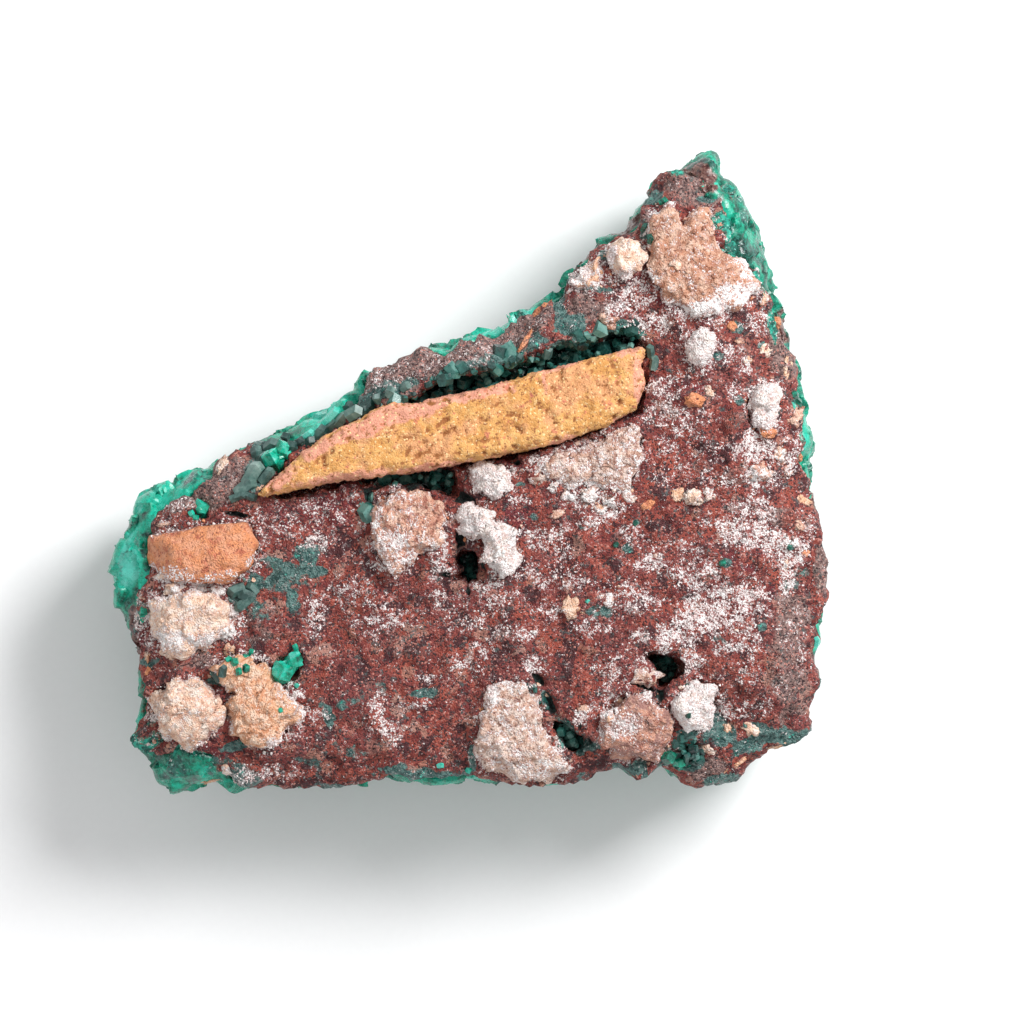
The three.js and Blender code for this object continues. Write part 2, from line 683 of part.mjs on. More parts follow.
// ---- The crust round the sides and underneath ----
// A point of the crust's surface below or inside one point of the outline; the level may be between two.
function crustPoint(point, level) {
  const [low, high] = [CRUST_PROFILE[Math.floor(level)], CRUST_PROFILE[Math.ceil(level)]];
  const mix = (key) => between([low[key], high[key]], level % 1);
  const at = drawnIn(point, { draw: mix("draw"), rim: mix("rim") });
  const crustTop = between([LOW_CRUST, 1], Math.min(1, point.z / FULL_CRUST_RIM));
  return new THREE.Vector3(at.x, at.y, FACE_HEIGHT * mix("rise") * crustTop);
}

// A band round the specimen. Each cell of its outside is raised to a low crystal point.
function crustGeometry() {
  const stations = outlineLoop(CRUST_GRID);
  const corners = stations.map((edge, station) =>
    CRUST_PROFILE.map((_, level) => {
      const at = crustPoint(edge, level);
      const outward = outwardAt(at.x, at.y).multiplyScalar(CRUST_ROUGHNESS * (scatter(station, level) - 0.6));
      const lift = CRUST_ROUGHNESS * (scatter(level, station) - 0.5);
      return at.add(new THREE.Vector3(outward.x, outward.y, lift));
    }),
  );
  const triangles = [];
  corners.forEach((here, station) => {
    const there = corners[(station + 1) % corners.length];
    here.forEach((lowHere, level) => {
      const high = (level + 1) % here.length;
      const cell = [lowHere, there[level], there[high], here[high]];
      if (level >= OUTER_LEVELS) {
        triangles.push(cell[0], cell[1], cell[2], cell[0], cell[2], cell[3]);
        return;
      }
      const tip = crystalPoint(cell, scatter(station, 40 + level));
      cell.forEach((corner, i) => triangles.push(corner, cell[(i + 1) % 4], tip));
    });
  });
  return new THREE.BufferGeometry().setFromPoints(triangles);
}

// The raised point of a cell: off its middle, towards one of its corners.
function crystalPoint(cell, chance) {
  const middle = cell.reduce((sum, corner) => sum.add(corner), new THREE.Vector3()).divideScalar(4);
  const across = cell[2].clone().sub(cell[0]);
  const normal = across.cross(cell[3].clone().sub(cell[1])).normalize();
  middle.lerp(cell[Math.floor(chance * 4)], 0.35);
  return middle.addScaledVector(normal, between(CRUST_POINTS, chance));
}

// Shares a row's crystals out over the four edges.
const stepsFor = (count) =>
  Object.fromEntries(Object.entries(EDGE_SHARES).map(([name, share]) => [name, Math.round(count * share)]));

function crustCrystals() {
  const crystals = [];
  CRYSTAL_ROWS.forEach(({ level, count, leastRim, radius, reach, lean }, row) => {
    outlineLoop(stepsFor(count)).forEach((edge, i) => {
      if (edge.z < leastRim) return;
      const chance = (series) => scatter(i, row * 10 + series) - 0.5;
      const at = crustPoint(edge, level + 0.4 * chance(0));
      const outward = outwardAt(at.x, at.y);
      const way = new THREE.Vector3(outward.x, outward.y, lean);
      way.add(new THREE.Vector3(chance(1), chance(2), chance(3)).multiplyScalar(CRYSTAL_SCATTER));
      const size = between(radius, chance(4) + 0.5);
      const crystal = placedCrystal(at, way, size, between(reach, chance(5) + 0.5), Math.PI * chance(6));
      if (lowestPoint(crystal) > CLEAR_OF_TABLE) crystals.push(crystal);
    });
  });
  return crystals;
}

// ---- Crystals in the upper face ----
// One that stands alone, or, with a gap, the tool for its socket.
function faceCrystal([x, y, way, radius, length], gap = 0) {
  const foot = new THREE.Vector3(x, y, faceHeight(x, y));
  const root = FACE_CRYSTAL_ROOT + gap;
  return placedCrystal(foot, new THREE.Vector3(...way), radius + gap, length + gap, x, root);
}

const creviceGeometry = (offset = 0) =>
  extrudedGeometry(
    offsetOutline(CREVICE.outline, offset),
    FACE_HEIGHT - CREVICE.depth - offset,
    FACE_HEIGHT + CLEAR_OF_FACE,
  );

// Crystals on a bed on the floor of an opening, kept to the room in it.
function liningSolid({ outline, depth }, room, crystals) {
  const floor = FACE_HEIGHT - depth;
  const bed = extrudedGeometry(outline, floor, floor + BED_DEPTH);
  return joined([bed, ...crystals]).intersect(solidOf(room));
}

function creviceCrystals() {
  const { count, radius, length, series } = CREVICE_CRYSTALS;
  const path = new THREE.CatmullRomCurve3(CREVICE.path.map(([x, y]) => new THREE.Vector3(x, y, 0)));
  return Array.from({ length: count }, (_, i) => {
    const at = path.getPointAt((i + 0.5) / count);
    at.z = FACE_HEIGHT - CREVICE.depth + BED_DEPTH;
    const way = new THREE.Vector3(scatter(i, series) - 0.5, scatter(i, series + 1), 1.4);
    const size = between(radius, scatter(i, series + 2));
    return placedCrystal(at, way, size, between(length, scatter(i, series + 3)), i, LINING_ROOT);
  });
}

function vugCrystals({ outline, depth }, vug) {
  const { count, radius, length, series } = VUG_CRYSTALS;
  const [cx, cy] = middleOf(outline);
  return Array.from({ length: count }, (_, i) => {
    const [x, y] = outline[Math.floor(((i + 0.5) * outline.length) / count)];
    const at = new THREE.Vector3((x + cx) / 2, (y + cy) / 2, FACE_HEIGHT - depth + BED_DEPTH);
    const way = new THREE.Vector3(cx - x, cy - y, 3);
    const size = between(radius, scatter(i, series + vug));
    return placedCrystal(at, way, size, between(length, scatter(vug, series + i)), i, LINING_ROOT);
  });
}

// ---- Assembly ----
const specimen = new THREE.Group();
function addMesh(name, solid, color, roughness) {
  const material = new THREE.MeshStandardMaterial({ color, roughness, metalness: 0 });
  const mesh = new THREE.Mesh(geometryOf(mainBody(solid)), material);
  mesh.name = name;
  specimen.add(mesh);
}
const BRICK_RED = 0x7d433d;
const OCHRE = 0xd9a055;
const DIOPTASE_GREEN = 0x12806a;
const DEEP_GREEN = 0x0c4a40;
const STONE_ROUGHNESS = 0.95;
const CRYSTAL_ROUGHNESS = 0.2;

const rock = matrixGeometry();
const bladeSocket = solidOf(bladeSocketGeometry());
const clastSockets = CLASTS.flatMap(({ lobes }) => lobes.map(socketGeometry)).map(solidOf);
const loneCrystals = FACE_CRYSTALS.flatMap(({ crystals }) => crystals);
const crystalSockets = loneCrystals.map((crystal) => solidOf(faceCrystal(crystal, FIT_GAP)));
const sockets = [bladeSocket, ...clastSockets, ...crystalSockets];
const openings = [creviceGeometry(), ...VUGS.map((vug) => vugGeometry(vug))].map(solidOf);

addMesh("matrix", cutBy(solidOf(rock), [...sockets, ...openings]), BRICK_RED, STONE_ROUGHNESS);
addMesh("ochre_blade", solidOf(bladeGeometry()), OCHRE, STONE_ROUGHNESS);
for (const { name, color, lobes } of CLASTS) {
  addMesh(name, joined(lobes.map(lobeGeometry)).subtract(bladeSocket), color, STONE_ROUGHNESS);
}

const rockSocket = solidOf(grown(rock, FIT_GAP));
const crust = cutBy(joined([crustGeometry(), ...crustCrystals()]), [rockSocket, ...sockets]);
addMesh("dioptase_crust", crust, DIOPTASE_GREEN, CRYSTAL_ROUGHNESS);
const creviceLining = liningSolid(CREVICE, creviceGeometry(-FIT_GAP), creviceCrystals());
addMesh("crevice_dioptase", creviceLining.subtract(bladeSocket), DEEP_GREEN, CRYSTAL_ROUGHNESS);
VUGS.forEach((vug, i) => {
  const lining = liningSolid(vug, vugGeometry(vug, FIT_GAP), vugCrystals(vug, i));
  addMesh(`${vug.name}_dioptase`, cutBy(lining, sockets), DEEP_GREEN, CRYSTAL_ROUGHNESS);
});
for (const { name, crystals } of FACE_CRYSTALS) {
  const group = joined(crystals.map((crystal) => faceCrystal(crystal)));
  addMesh(name, cutBy(group, [bladeSocket, ...clastSockets]), DIOPTASE_GREEN, CRYSTAL_ROUGHNESS);
}

// Stand the specimen over the middle of its own box.
const box = new THREE.Box3().setFromObject(specimen);
specimen.position.set(-(box.min.x + box.max.x) / 2, -(box.min.y + box.max.y) / 2, -box.min.z);

export default specimen;
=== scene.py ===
# %% [markdown]
# # A dioptase specimen on its red rock
# The real thing is a hand-sized slab of broken rock. A brick-red breccia, which is rock made of older
# fragments, carries pale lumps, one long ochre blade and a sugar of tiny white crystals. Green dioptase
# has grown as a crust round its sides, and shows as a glassy rim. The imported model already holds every
# main form at its right size. This lesson keeps those forms and gives them their surface.

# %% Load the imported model
import math

import bmesh
import bpy
import numpy as np
from mathutils import Matrix, Vector, noise
from mathutils.bvhtree import BVHTree


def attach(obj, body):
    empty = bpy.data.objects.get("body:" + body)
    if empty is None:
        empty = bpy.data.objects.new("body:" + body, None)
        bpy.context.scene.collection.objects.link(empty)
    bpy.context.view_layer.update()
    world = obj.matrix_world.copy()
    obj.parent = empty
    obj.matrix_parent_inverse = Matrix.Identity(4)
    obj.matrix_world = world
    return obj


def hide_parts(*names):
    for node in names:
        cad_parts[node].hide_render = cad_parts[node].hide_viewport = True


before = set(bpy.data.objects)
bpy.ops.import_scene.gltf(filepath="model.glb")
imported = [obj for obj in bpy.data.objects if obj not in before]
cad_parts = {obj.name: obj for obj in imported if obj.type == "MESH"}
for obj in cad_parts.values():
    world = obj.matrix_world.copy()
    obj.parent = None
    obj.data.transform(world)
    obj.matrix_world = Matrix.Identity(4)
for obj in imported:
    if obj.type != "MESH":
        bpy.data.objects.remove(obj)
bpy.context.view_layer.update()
MM = 0.001  # the pieces are shaped in millimetres, and Blender's scene is in metres
print("packed nodes:", len(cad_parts))

# %% [markdown]
# ## Light, floor and camera
# A specimen like this is shown lying on white card and looked at from straight above. A long lens keeps the
# edges from leaning. The light is one big soft panel from the upper right, so that the relief casts short
# shadows down to the left. An even white sky and a weak second panel fill them. The Standard view keeps the
# card white.

# %% Camera, card and light
CARD_MIDDLE = (4.3, -4.2)  # what the camera looks down on, in millimetres
FACE_LEVEL = 20.0  # height of the face, where the view is this wide
VIEW_WIDTH = 107.5
LENS = 150.0
SENSOR = 36.0
CLEAR_BEFORE = 0.05  # in metres; nothing nearer to the camera is seen
SKY_STRENGTH = 0.56

scene = bpy.context.scene
scene.view_settings.view_transform = "Standard"


def put_in_scene(name, data):
    """Links a new object that holds the data."""
    made = bpy.data.objects.new(name, data)
    scene.collection.objects.link(made)
    return made


camera = put_in_scene("camera", bpy.data.cameras.new("camera"))
camera.data.lens = LENS
camera.data.sensor_width = SENSOR
camera_height = FACE_LEVEL + VIEW_WIDTH * LENS / SENSOR
camera.location = (CARD_MIDDLE[0] * MM, CARD_MIDDLE[1] * MM, camera_height * MM)
camera.data.clip_start = CLEAR_BEFORE
scene.camera = camera

sky = bpy.data.worlds.new("soft_sky")
sky.use_nodes = True
sky.node_tree.nodes["Background"].inputs["Color"].default_value = (1, 1, 1, 1)
sky.node_tree.nodes["Background"].inputs["Strength"].default_value = SKY_STRENGTH
scene.world = sky


def light_panel(name, place, side, watts):
    """A square soft light that faces the specimen. Its place and its side are in metres."""
    data = bpy.data.lights.new(name, "AREA")
    data.shape = "SQUARE"
    data.size = side
    data.energy = watts
    panel = put_in_scene(name, data)
    panel.location = place
    panel.rotation_euler = (-Vector(place)).to_track_quat("-Z", "Y").to_euler()


light_panel("window_panel", (0.30, 0.24, 0.36), 0.20, 3.2)
light_panel("fill_panel", (-0.35, -0.30, 0.45), 0.40, 0.4)
print("camera is", round(camera_height), "mm above the table")

# %% [markdown]
# ## Helpers for shapes
# Stone is never smooth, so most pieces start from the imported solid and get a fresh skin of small, even
# cells, which is what Blender's voxel remesh makes. The cells are then pushed in and out by noise. Working
# on plain arrays of points keeps that fast and gives the same result on every run.

# %% Shape helpers
noise.seed_set(5)  # Blender's noise vectors start from the clock unless a seed is set
dice = np.random.default_rng(24)  # every random choice comes from here, in the same order each time


def piece_from(node, name):
    """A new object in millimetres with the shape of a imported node, its corners joined up."""
    shape = bmesh.new()
    shape.from_mesh(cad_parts[node].data)
    bmesh.ops.scale(shape, vec=(1 / MM,) * 3, verts=shape.verts)
    bmesh.ops.remove_doubles(shape, verts=shape.verts, dist=0.002)
    mesh = bpy.data.meshes.new(name)
    shape.to_mesh(mesh)
    shape.free()
    if "custom_normal" in mesh.attributes:
        mesh.attributes.remove(mesh.attributes["custom_normal"])
    return put_in_scene(name, mesh)


def new_skin(piece, cell, rounds):
    """Gives the piece a skin of even cells, with its edges rounded off a little."""
    skin = piece.modifiers.new("skin", "REMESH")
    skin.mode = "VOXEL"
    skin.voxel_size = cell
    soften = piece.modifiers.new("soften", "SMOOTH")
    soften.iterations = rounds
    mesh = bpy.data.meshes.new_from_object(piece.evaluated_get(bpy.context.evaluated_depsgraph_get()))
    piece.modifiers.clear()
    piece.data = mesh


def split_faces(piece, times, wanted=None):
    """Splits every face of the piece into four, or every wanted one, this many times."""
    shape = bmesh.new()
    shape.from_mesh(piece.data)
    for _ in range(times):
        edges = shape.edges
        if wanted:
            edges = list({edge for face in shape.faces if wanted(face) for edge in face.edges})
        bmesh.ops.subdivide_edges(shape, edges=edges, cuts=1, use_grid_fill=True)
    shape.to_mesh(piece.data)
    shape.free()


def ball(rounds):
    """The points and faces of a ball of small triangles, split this many times."""
    shape = bmesh.new()
    bmesh.ops.create_icosphere(shape, subdivisions=rounds, radius=1.0)
    points = np.array([v.co[:] for v in shape.verts])
    faces = [[v.index for v in face.verts] for face in shape.faces]
    shape.free()
    return points, faces


def points_of(mesh, what="co"):
    """The mesh's points as an array."""
    flat = np.zeros(len(mesh.vertices) * 3, np.float32)
    mesh.vertices.foreach_get(what, flat)
    return flat.reshape(-1, 3).astype(float)


def skin_of(piece):
    """The piece's points, and the direction that its surface faces at each of them."""
    return points_of(piece.data), points_of(piece.data, "normal")


def move_points(piece, points):
    """Moves the piece's points to new places."""
    piece.data.vertices.foreach_set("co", points.astype(np.float32).ravel())
    piece.data.update()


def melt(mesh, points, share, rounds):
    """The points with their relief worn down where share is 1: each moves towards its neighbours' middle."""
    ends = np.zeros(len(mesh.edges) * 2, np.int32)
    mesh.edges.foreach_get("vertices", ends)
    ends = np.vstack([ends.reshape(-1, 2), ends.reshape(-1, 2)[:, ::-1]])
    count = np.bincount(ends[:, 0], minlength=len(points))
    for _ in range(rounds):
        sums = [np.bincount(ends[:, 0], points[ends[:, 1], i], len(points)) for i in range(3)]
        points = points + 0.5 * share[:, None] * (np.stack(sums, axis=1) / count[:, None] - points)
    return points


def grain(points, size, octaves=3, shift=0.0, smoothness=1.0):
    """Cloudy noise from about -1 to 1 at each point, with lumps of this size; less smoothness is rougher."""
    move = Vector((shift, shift * 0.7, shift * 1.3))
    return np.array([noise.fractal(Vector(p) / size + move, smoothness, 2.0, octaves) for p in points])


def fade_in(values, start, width):
    """0 up to start, and rising to 1 over this width."""
    return np.clip((values - start) / width, 0, 1)


def ledges(height, rise):
    """Turns a rolling height into flat steps of this rise with short steep edges."""
    level = np.floor(height / rise)
    return (level + fade_in(height / rise - level, 0.78, 0.22)) * rise


def lumps(points, size):
    """Rounded lumps with creases between them, from 0 in a crease to about 1."""
    near = np.array([noise.voronoi(Vector(p) / size)[0][:2] for p in points])
    return np.clip((near[:, 1] - near[:, 0]) * 1.6, 0, 1)


def facets(points, size):
    """Slanting flat faces, like those of crystals grown into each other: each cell tips its own way."""
    slants = []
    for point in points:
        place = Vector(point) / size
        centre = noise.voronoi(place)[1][0]
        slants.append((place - centre).dot(noise.noise_vector(centre * 5.3).normalized()))
    return np.array(slants) * size


def tree_of(pieces):
    """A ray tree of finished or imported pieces, in millimetres."""
    points, faces, start = [], [], 0
    for piece in pieces:
        found = points_of(piece.data) / MM
        points.append(found)
        faces += [[start + v for v in polygon.vertices] for polygon in piece.data.polygons]
        start += len(found)
    return BVHTree.FromPolygons(np.vstack(points).tolist(), faces)


def skin_tree(piece, points):
    """A ray tree of a piece that is still in millimetres."""
    return BVHTree.FromPolygons(points.tolist(), [list(p.vertices) for p in piece.data.polygons])


def nearness(points, tree, reach):
    """1 at the surface in the ray tree, and less away from it, down to 0 at this distance."""
    far = [tree.find_nearest(Vector(p), reach)[3] for p in points]
    return np.array([0.0 if d is None else 1 - d / reach for d in far])


def store(piece, **layers):
    """Keeps numbers for each point of the piece, which a finish can read by these names."""
    for name, values in layers.items():
        layer = piece.data.attributes.new(name, "FLOAT", "POINT")
        layer.data.foreach_set("value", np.asarray(values, np.float32))


def patch_cover(points, patches, ragged):
    """How far each point lies inside any of the patches, 0 to 1. A patch is (x, y, half length, half width),
    then its strength where that isn't 1, and its turn in degrees where it is turned."""
    cover = np.zeros(len(points))
    for x, y, long, wide, *rest in patches:
        strength, turn = rest + [1, 0][len(rest):]
        c, s = math.cos(math.radians(turn)), math.sin(math.radians(turn))
        dx, dy = points[:, 0] - x, points[:, 1] - y
        reach = np.hypot((dx * c + dy * s) / long, (dy * c - dx * s) / wide) + ragged
        cover = np.maximum(cover, strength * np.clip((1.45 - reach) / 0.9, 0, 1))
    return cover


print("helpers for shapes are ready; a ball has", len(ball(3)[1]), "small triangles")

# %% [markdown]
# ## Where things lie on the face
# The white sugar, the blue-green stain and the brown weathering each lie in their own places. They are
# listed here once as rough ellipses in millimetres, and noise frays their edges. The rock, the lumps and
# the loose grains all read the same lists, so that a white patch runs from one to the next.

# %% Lists of patches
FROST = [
    (15.8, -26.4, 2, 1.2, 0.55, 20), (14, -24.4, 1.2, 1.6, 0.6), (34, -17, 1.6, 3, 0.35),
    (-9, 9.8, 3.4, 1.4, 0.38, 26), (-1, 12.4, 4.4, 1.4, 0.4, 14), (5, 15, 3, 1.4, 0.38, 24),
    (-14, -3.6, 8, 3.2, 0.36, 10), (-8, -9, 3, 3, 0.4), (22, 2, 4, 4, 0.34), (-2.7, -8.7, 0.5, 1.2),
    (1.5, -8.3, 0.4, 1), (-1, -10.9, 1.6, 0.4, 1, -20), (-16.3, -7.3, 1.9, 0.7, 0.9), (-22.2, -9.3, 0.9, 1),
    (-26.5, -11.2, 2.4, 0.8, 0.62, 10), (-30.6, -10.9, 2.4, 1, 0.62, -10), (-31.4, -17.6, 2.6, 1, 0.9, 5),
    (-28.6, -12, 3, 0.7, 0.9, 5), (-31, -4.4, 1.5, 0.8, 0.5, 10), (-22, -5, 1, 1.3, 0.55),
    (-17.5, -5, 4.5, 2, 0.42, 10), (-9, -8, 2, 2, 0.5), (-16.4, -15, 1, 2.6, 0.65),
    (-13, -12.6, 3.5, 1.5, 0.45), (-24.3, -15.6, 0.9, 1.3, 0.5), (-26.5, -17.4, 2.4, 0.7, 0.85, 15),
    (-18.8, -22.8, 1.3, 0.9, 1, -20), (-16.8, -25.2, 2.2, 0.9, 0.55, -20), (-9.5, -25.5, 1.6, 2, 0.6),
    (-10.5, -15, 2, 2.6, 0.45), (-22, -31.2, 4.2, 0.9, 0.7), (-33.4, -25.6, 0.7, 0.3, 0.9),
    (-19.5, -27.8, 2.4, 0.8, 0.55, 35), (-9.5, -9.9, 1.8, 0.8, 0.65), (-3.2, -9.4, 1.5, 1.7, 0.7),
    (1.2, -11.9, 2.2, 0.7, 0.65), (5.2, -10.6, 1.7, 1, 0.65), (7.5, -7, 2.6, 1.6, 0.5, -20),
    (8.6, -7, 1, 0.5, 0.8, -20), (5.2, -2.8, 1.2, 0.5, 0.8), (-3.1, -13.4, 0.9, 0.9, 0.8),
    (3, -13.4, 2.6, 1.1, 0.6), (9, -11.2, 4, 1.3, 0.5), (16.5, -12.8, 2.3, 2, 0.75),
    (13.5, -4.6, 3, 1.4, 0.8, 20), (0, -15.2, 3.2, 1.8, 0.4), (-7.5, -15.6, 2, 1.2, 0.5),
    (5.2, -16.8, 3.2, 1, 0.55), (1.2, -18.4, 1, 1, 0.6), (6.6, -20.2, 1.2, 0.9, 0.85),
    (11.4, -25.8, 0.9, 0.8, 0.9), (-4, -21.6, 2.2, 0.5, 0.55), (-8.5, -27.4, 1.2, 1.2, 0.75),
    (-6.2, -24.5, 2, 0.7, 0.55), (2.4, -23.2, 0.8, 1.2, 0.6), (12.6, -16.4, 2, 1, 0.55),
    (15, -21, 2.4, 2, 0.45), (17.9, -17.2, 1.2, 0.8, 0.75), (-0.8, -20.4, 2.2, 1, 0.5),
    (13.5, -24, 1.2, 1.6, 0.5), (8.2, -14.5, 2, 1, 0.5), (19.2, -9.5, 1.6, 1, 0.95), (21.5, -7.8, 3, 1, 0.5),
    (23.5, -10.6, 2.8, 1.8, 0.75), (25.2, -14.6, 4.2, 2.6, 0.92, 10), (21.6, -17.2, 3.4, 1.6, 0.85),
    (29.2, -13, 2.6, 2.2, 0.8), (28.6, -6, 2.6, 2), (31.4, -7.2, 2.6, 1.4, 0.95, -20),
    (33.4, -8.4, 2.2, 2.2, 0.85), (30.2, -3.6, 1.4, 1.6, 0.7), (33.2, -11.2, 1.4, 1.7, 0.75),
    (29.6, 2.4, 2, 1.8), (30.2, -0.6, 2, 1.2, 0.85), (33.4, 2, 1.4, 2, 0.75), (31, 4.8, 1.6, 1, 0.8),
    (22.2, 5.4, 2.8, 1.4, 0.5), (20.6, 7.8, 1.5, 1.5, 0.75), (18.8, 6, 1, 1.4, 0.55),
    (28.4, -17.6, 2, 1.6, 0.55), (34.9, -19.4, 0.8, 1.8, 0.4), (32.4, -22.4, 1.4, 1, 0.3),
    (30.4, -24.6, 1.4, 0.9, 0.5), (19.6, -19.2, 2.6, 0.7, 0.85, 20), (27, -18.4, 2, 0.9, 0.8),
    (26.6, -24.9, 3, 1, 0.75, -10), (28.9, -20.8, 1.2, 1.6, 0.65), (22.5, -20, 2, 1, 0.8),
    (17, 18.8, 2.4, 1.4, 0.95, -20), (15.4, 17, 1.5, 1, 0.8), (17.5, 15, 1.3, 1.4),
    (17.2, 20.3, 2.6, 0.7, 0.8), (20, 15.6, 2.2, 1.3, 0.6), (22.4, 16.6, 2, 0.8, 0.9, -20),
    (25, 16.9, 2.6, 0.8, 1, 10), (28.6, 18.6, 2.2, 1.3, 0.85), (29.2, 21.6, 1.8, 1.2, 0.95, -50),
    (30.2, 15.8, 1.2, 1.3, 0.75), (22.3, 14, 1.6, 1, 0.5), (27, 12.4, 1.6, 1, 0.65), (29, 11.4, 1, 0.9, 0.6),
    (19.4, 9, 1.4, 1, 0.65), (22.6, 9.8, 3, 0.9, 0.45, 10), (28, 8.4, 1.2, 1, 0.6),
    (11.4, 20.6, 1.3, 0.8, 0.9, 30), (14.6, 22.8, 0.5, 1.6, 0.8), (-5.8, 6.4, 1.2, 0.2, 0.7, 25),
    (-8.2, 4.9, 1, 0.2, 0.7, 25), (26, -1.2, 2.6, 0.8, 0.6), (12, -3, 2.4, 0.8, 0.8),
    (16.6, -6.4, 1.2, 1, 0.7), (24.5, -4.8, 2.2, 0.8, 0.4), (26, 15.6, 1.6, 0.8, 0.6),
    (10.2, -8.8, 2.5, 0.9, 0.45, -15), (35.6, -6.2, 0.6, 1.4, 0.5),
]
STAIN = [
    (-9, 8, 3.4, 0.6, 0.8, 26), (-2.5, 10.4, 4, 0.5, 0.7, 16), (4, 12.2, 3.6, 0.9, 0.8, 18),
    (-15.6, 4.8, 2, 1, 0.8, 35), (-19, -11.2, 3.2, 1.6, 0.55, -10), (-22.4, -14.6, 1.8, 1.2, 0.6),
    (-17, -8.6, 1.7, 1.1), (-19.6, -9.9, 2.8, 0.7, 0.85, -15), (-16.6, -10.5, 2.4, 0.6, 0.85),
    (-20.2, -11.6, 1.6, 1.7, 0.7), (-18.8, -13.4, 0.8, 1.6, 0.9), (-24, -13, 1.3, 1.1, 1, 20),
    (-22.6, -11.6, 1.2, 0.9, 0.8), (-26.7, -21.3, 0.9, 1.1), (-34.8, -15, 1.2, 1.5, 0.9),
    (-24.2, -28.5, 1.7, 0.4, 1, 5), (-25.4, -30.9, 3.4, 0.8, 0.8, 5), (-23.2, -31.8, 1.4, 0.9, 0.8),
    (-15, -26, 0.7, 2, 0.85, 20), (-12.6, -24.2, 2, 0.6, 0.6, 20), (-12.6, -29.2, 3, 0.6, 0.5, -20),
    (-17.4, -30.4, 2, 0.7, 0.6, -10), (-5, -31, 4, 0.8), (0.1, -29.6, 0.4, 1.9),
    (-5.2, -23.2, 2.2, 0.5, 0.8, 10), (-9.2, -22.4, 1.4, 0.6, 0.5, -50), (-14, -33, 5, 0.5, 0.8, 5),
    (8, -24.2, 0.5, 1.5, 1, 30), (9.7, -27.4, 1.2, 1.5, 1, 20), (12.2, -28.6, 1.7, 0.5, 1, 10),
    (13.5, -27.6, 0.5, 1, 0.9, -30), (15.6, -29, 1.4, 0.2, 1, -45), (17, -30.4, 2.4, 0.3, 1, 22),
    (18.2, -30.8, 0.25, 1), (19.6, -31.4, 1.2, 0.3), (11.6, -31.6, 0.4, 0.5, 0.8), (26.4, -27.6, 2.2, 1.4),
    (29.2, -28.6, 2.6, 0.9, 1, 25), (32.8, -27.5, 2.6, 0.7, 1, 20), (22.4, -30.4, 2, 0.9),
    (25, -25.8, 1, 0.8, 0.8), (22.6, -27.4, 1, 0.8), (26.2, -32.4, 2.2, 0.6, 0.9, 20),
    (24, -26.6, 1.6, 0.6, 0.8, 20), (6.2, -22.4, 1, 0.4, 0.8), (33.6, -7.8, 0.5, 0.5),
    (26.5, -9.6, 0.6, 0.5, 0.9), (30.1, 2.5, 0.4, 0.4), (17.2, -5.3, 0.4, 0.3), (16.4, -8, 0.5, 0.4, 0.9),
    (30.6, -16.2, 0.5, 0.5, 0.9), (26.1, -17.6, 1, 0.8, 0.6), (13.2, -14.6, 1.4, 0.6, 0.7),
    (22.6, -22.3, 0.5, 0.3), (22.6, -25.4, 0.5, 0.4), (33.8, -12, 1.4, 1, 0.6), (36, -23, 0.5, 1.6, 0.8),
    (12.2, 19.4, 2.2, 0.7, 1, -15), (9.2, 18.4, 0.7, 2), (10.6, 15.2, 1.8, 1.2), (7, 13.9, 1, 1),
    (11.4, 13.4, 3.4, 1, 1, 20), (15, 14.2, 2, 1, 1, 25), (15.8, 15.4, 0.8, 0.8), (3, 11, 2.4, 0.5, 0.8, 15),
    (18.4, 25, 0.9, 1.1), (19, 28.9, 1.2, 0.8, 1, 30), (22.6, 31.4, 1.2, 0.5, 1, -30),
    (24.6, 28.5, 1.2, 0.4), (14.1, 22.7, 0.5, 0.7), (27.8, 15.1, 0.7, 0.6), (28.2, 7.4, 0.6, 0.5, 0.9),
    (-4, 7.2, 4, 0.4, 0.7, 22), (-21.8, 0.6, 1.4, 2.6, 0.9, -30), (-28, 0.2, 2, 0.6, 0.6, 25),
    (35, -10.6, 1, 0.8, 0.6), (12, -5.6, 0.9, 0.7, 0.6), (30.6, 13.4, 0.4, 0.4, 0.8),
    (25.8, 12, 0.5, 0.4, 0.8), (-33.2, -20, 0.7, 0.6, 0.6), (-27.2, -29.6, 2.6, 0.4, 0.6, -5),
    (31, -27.4, 2.4, 0.9, 0.9), (5.2, -1.4, 0.6, 0.3, 0.7), (6.6, -4.8, 0.6, 0.5, 0.7),
]
BROWN = [
    (-9, 9.6, 4, 2.6, 1, 28), (-2, 12, 6, 2.4, 1, 10), (5, 15.2, 4, 1.8, 1, 25),
    (-27, -1.6, 5, 2.6, 0.9, 20), (12, 17.2, 2.4, 1.6), (24, 29.6, 3.6, 2.2), (33.4, -20, 2.6, 6.5, 0.68),
    (32.6, -4.8, 2.6, 1, 1, -10), (34, -14.4, 2.6, 1.8, 0.9), (24.6, -31.4, 2.4, 1.6),
    (32.6, 13.4, 1.2, 4, 1, 10), (27.4, 5.4, 1.2, 1.1), (27.7, -0.5, 1.2, 1), (24, 0.6, 0.8, 0.7),
    (-27.5, -20, 2.6, 1, 0.8), (-22, -16, 3, 3, 0.5), (19, 26.4, 1.6, 1.6, 0.8), (15.6, -7, 1.4, 1, 0.8),
    (27, -3.8, 1.4, 0.6, 0.8), (36.8, -10, 1, 2.6), (-10, -22.5, 1.6, 1.6, 0.5), (3, -17, 1.4, 1.4, 0.6),
    (-8, -18, 3.5, 1.6, 0.5, -15), (12.2, -27, 1.2, 1.2, 0.7),
]
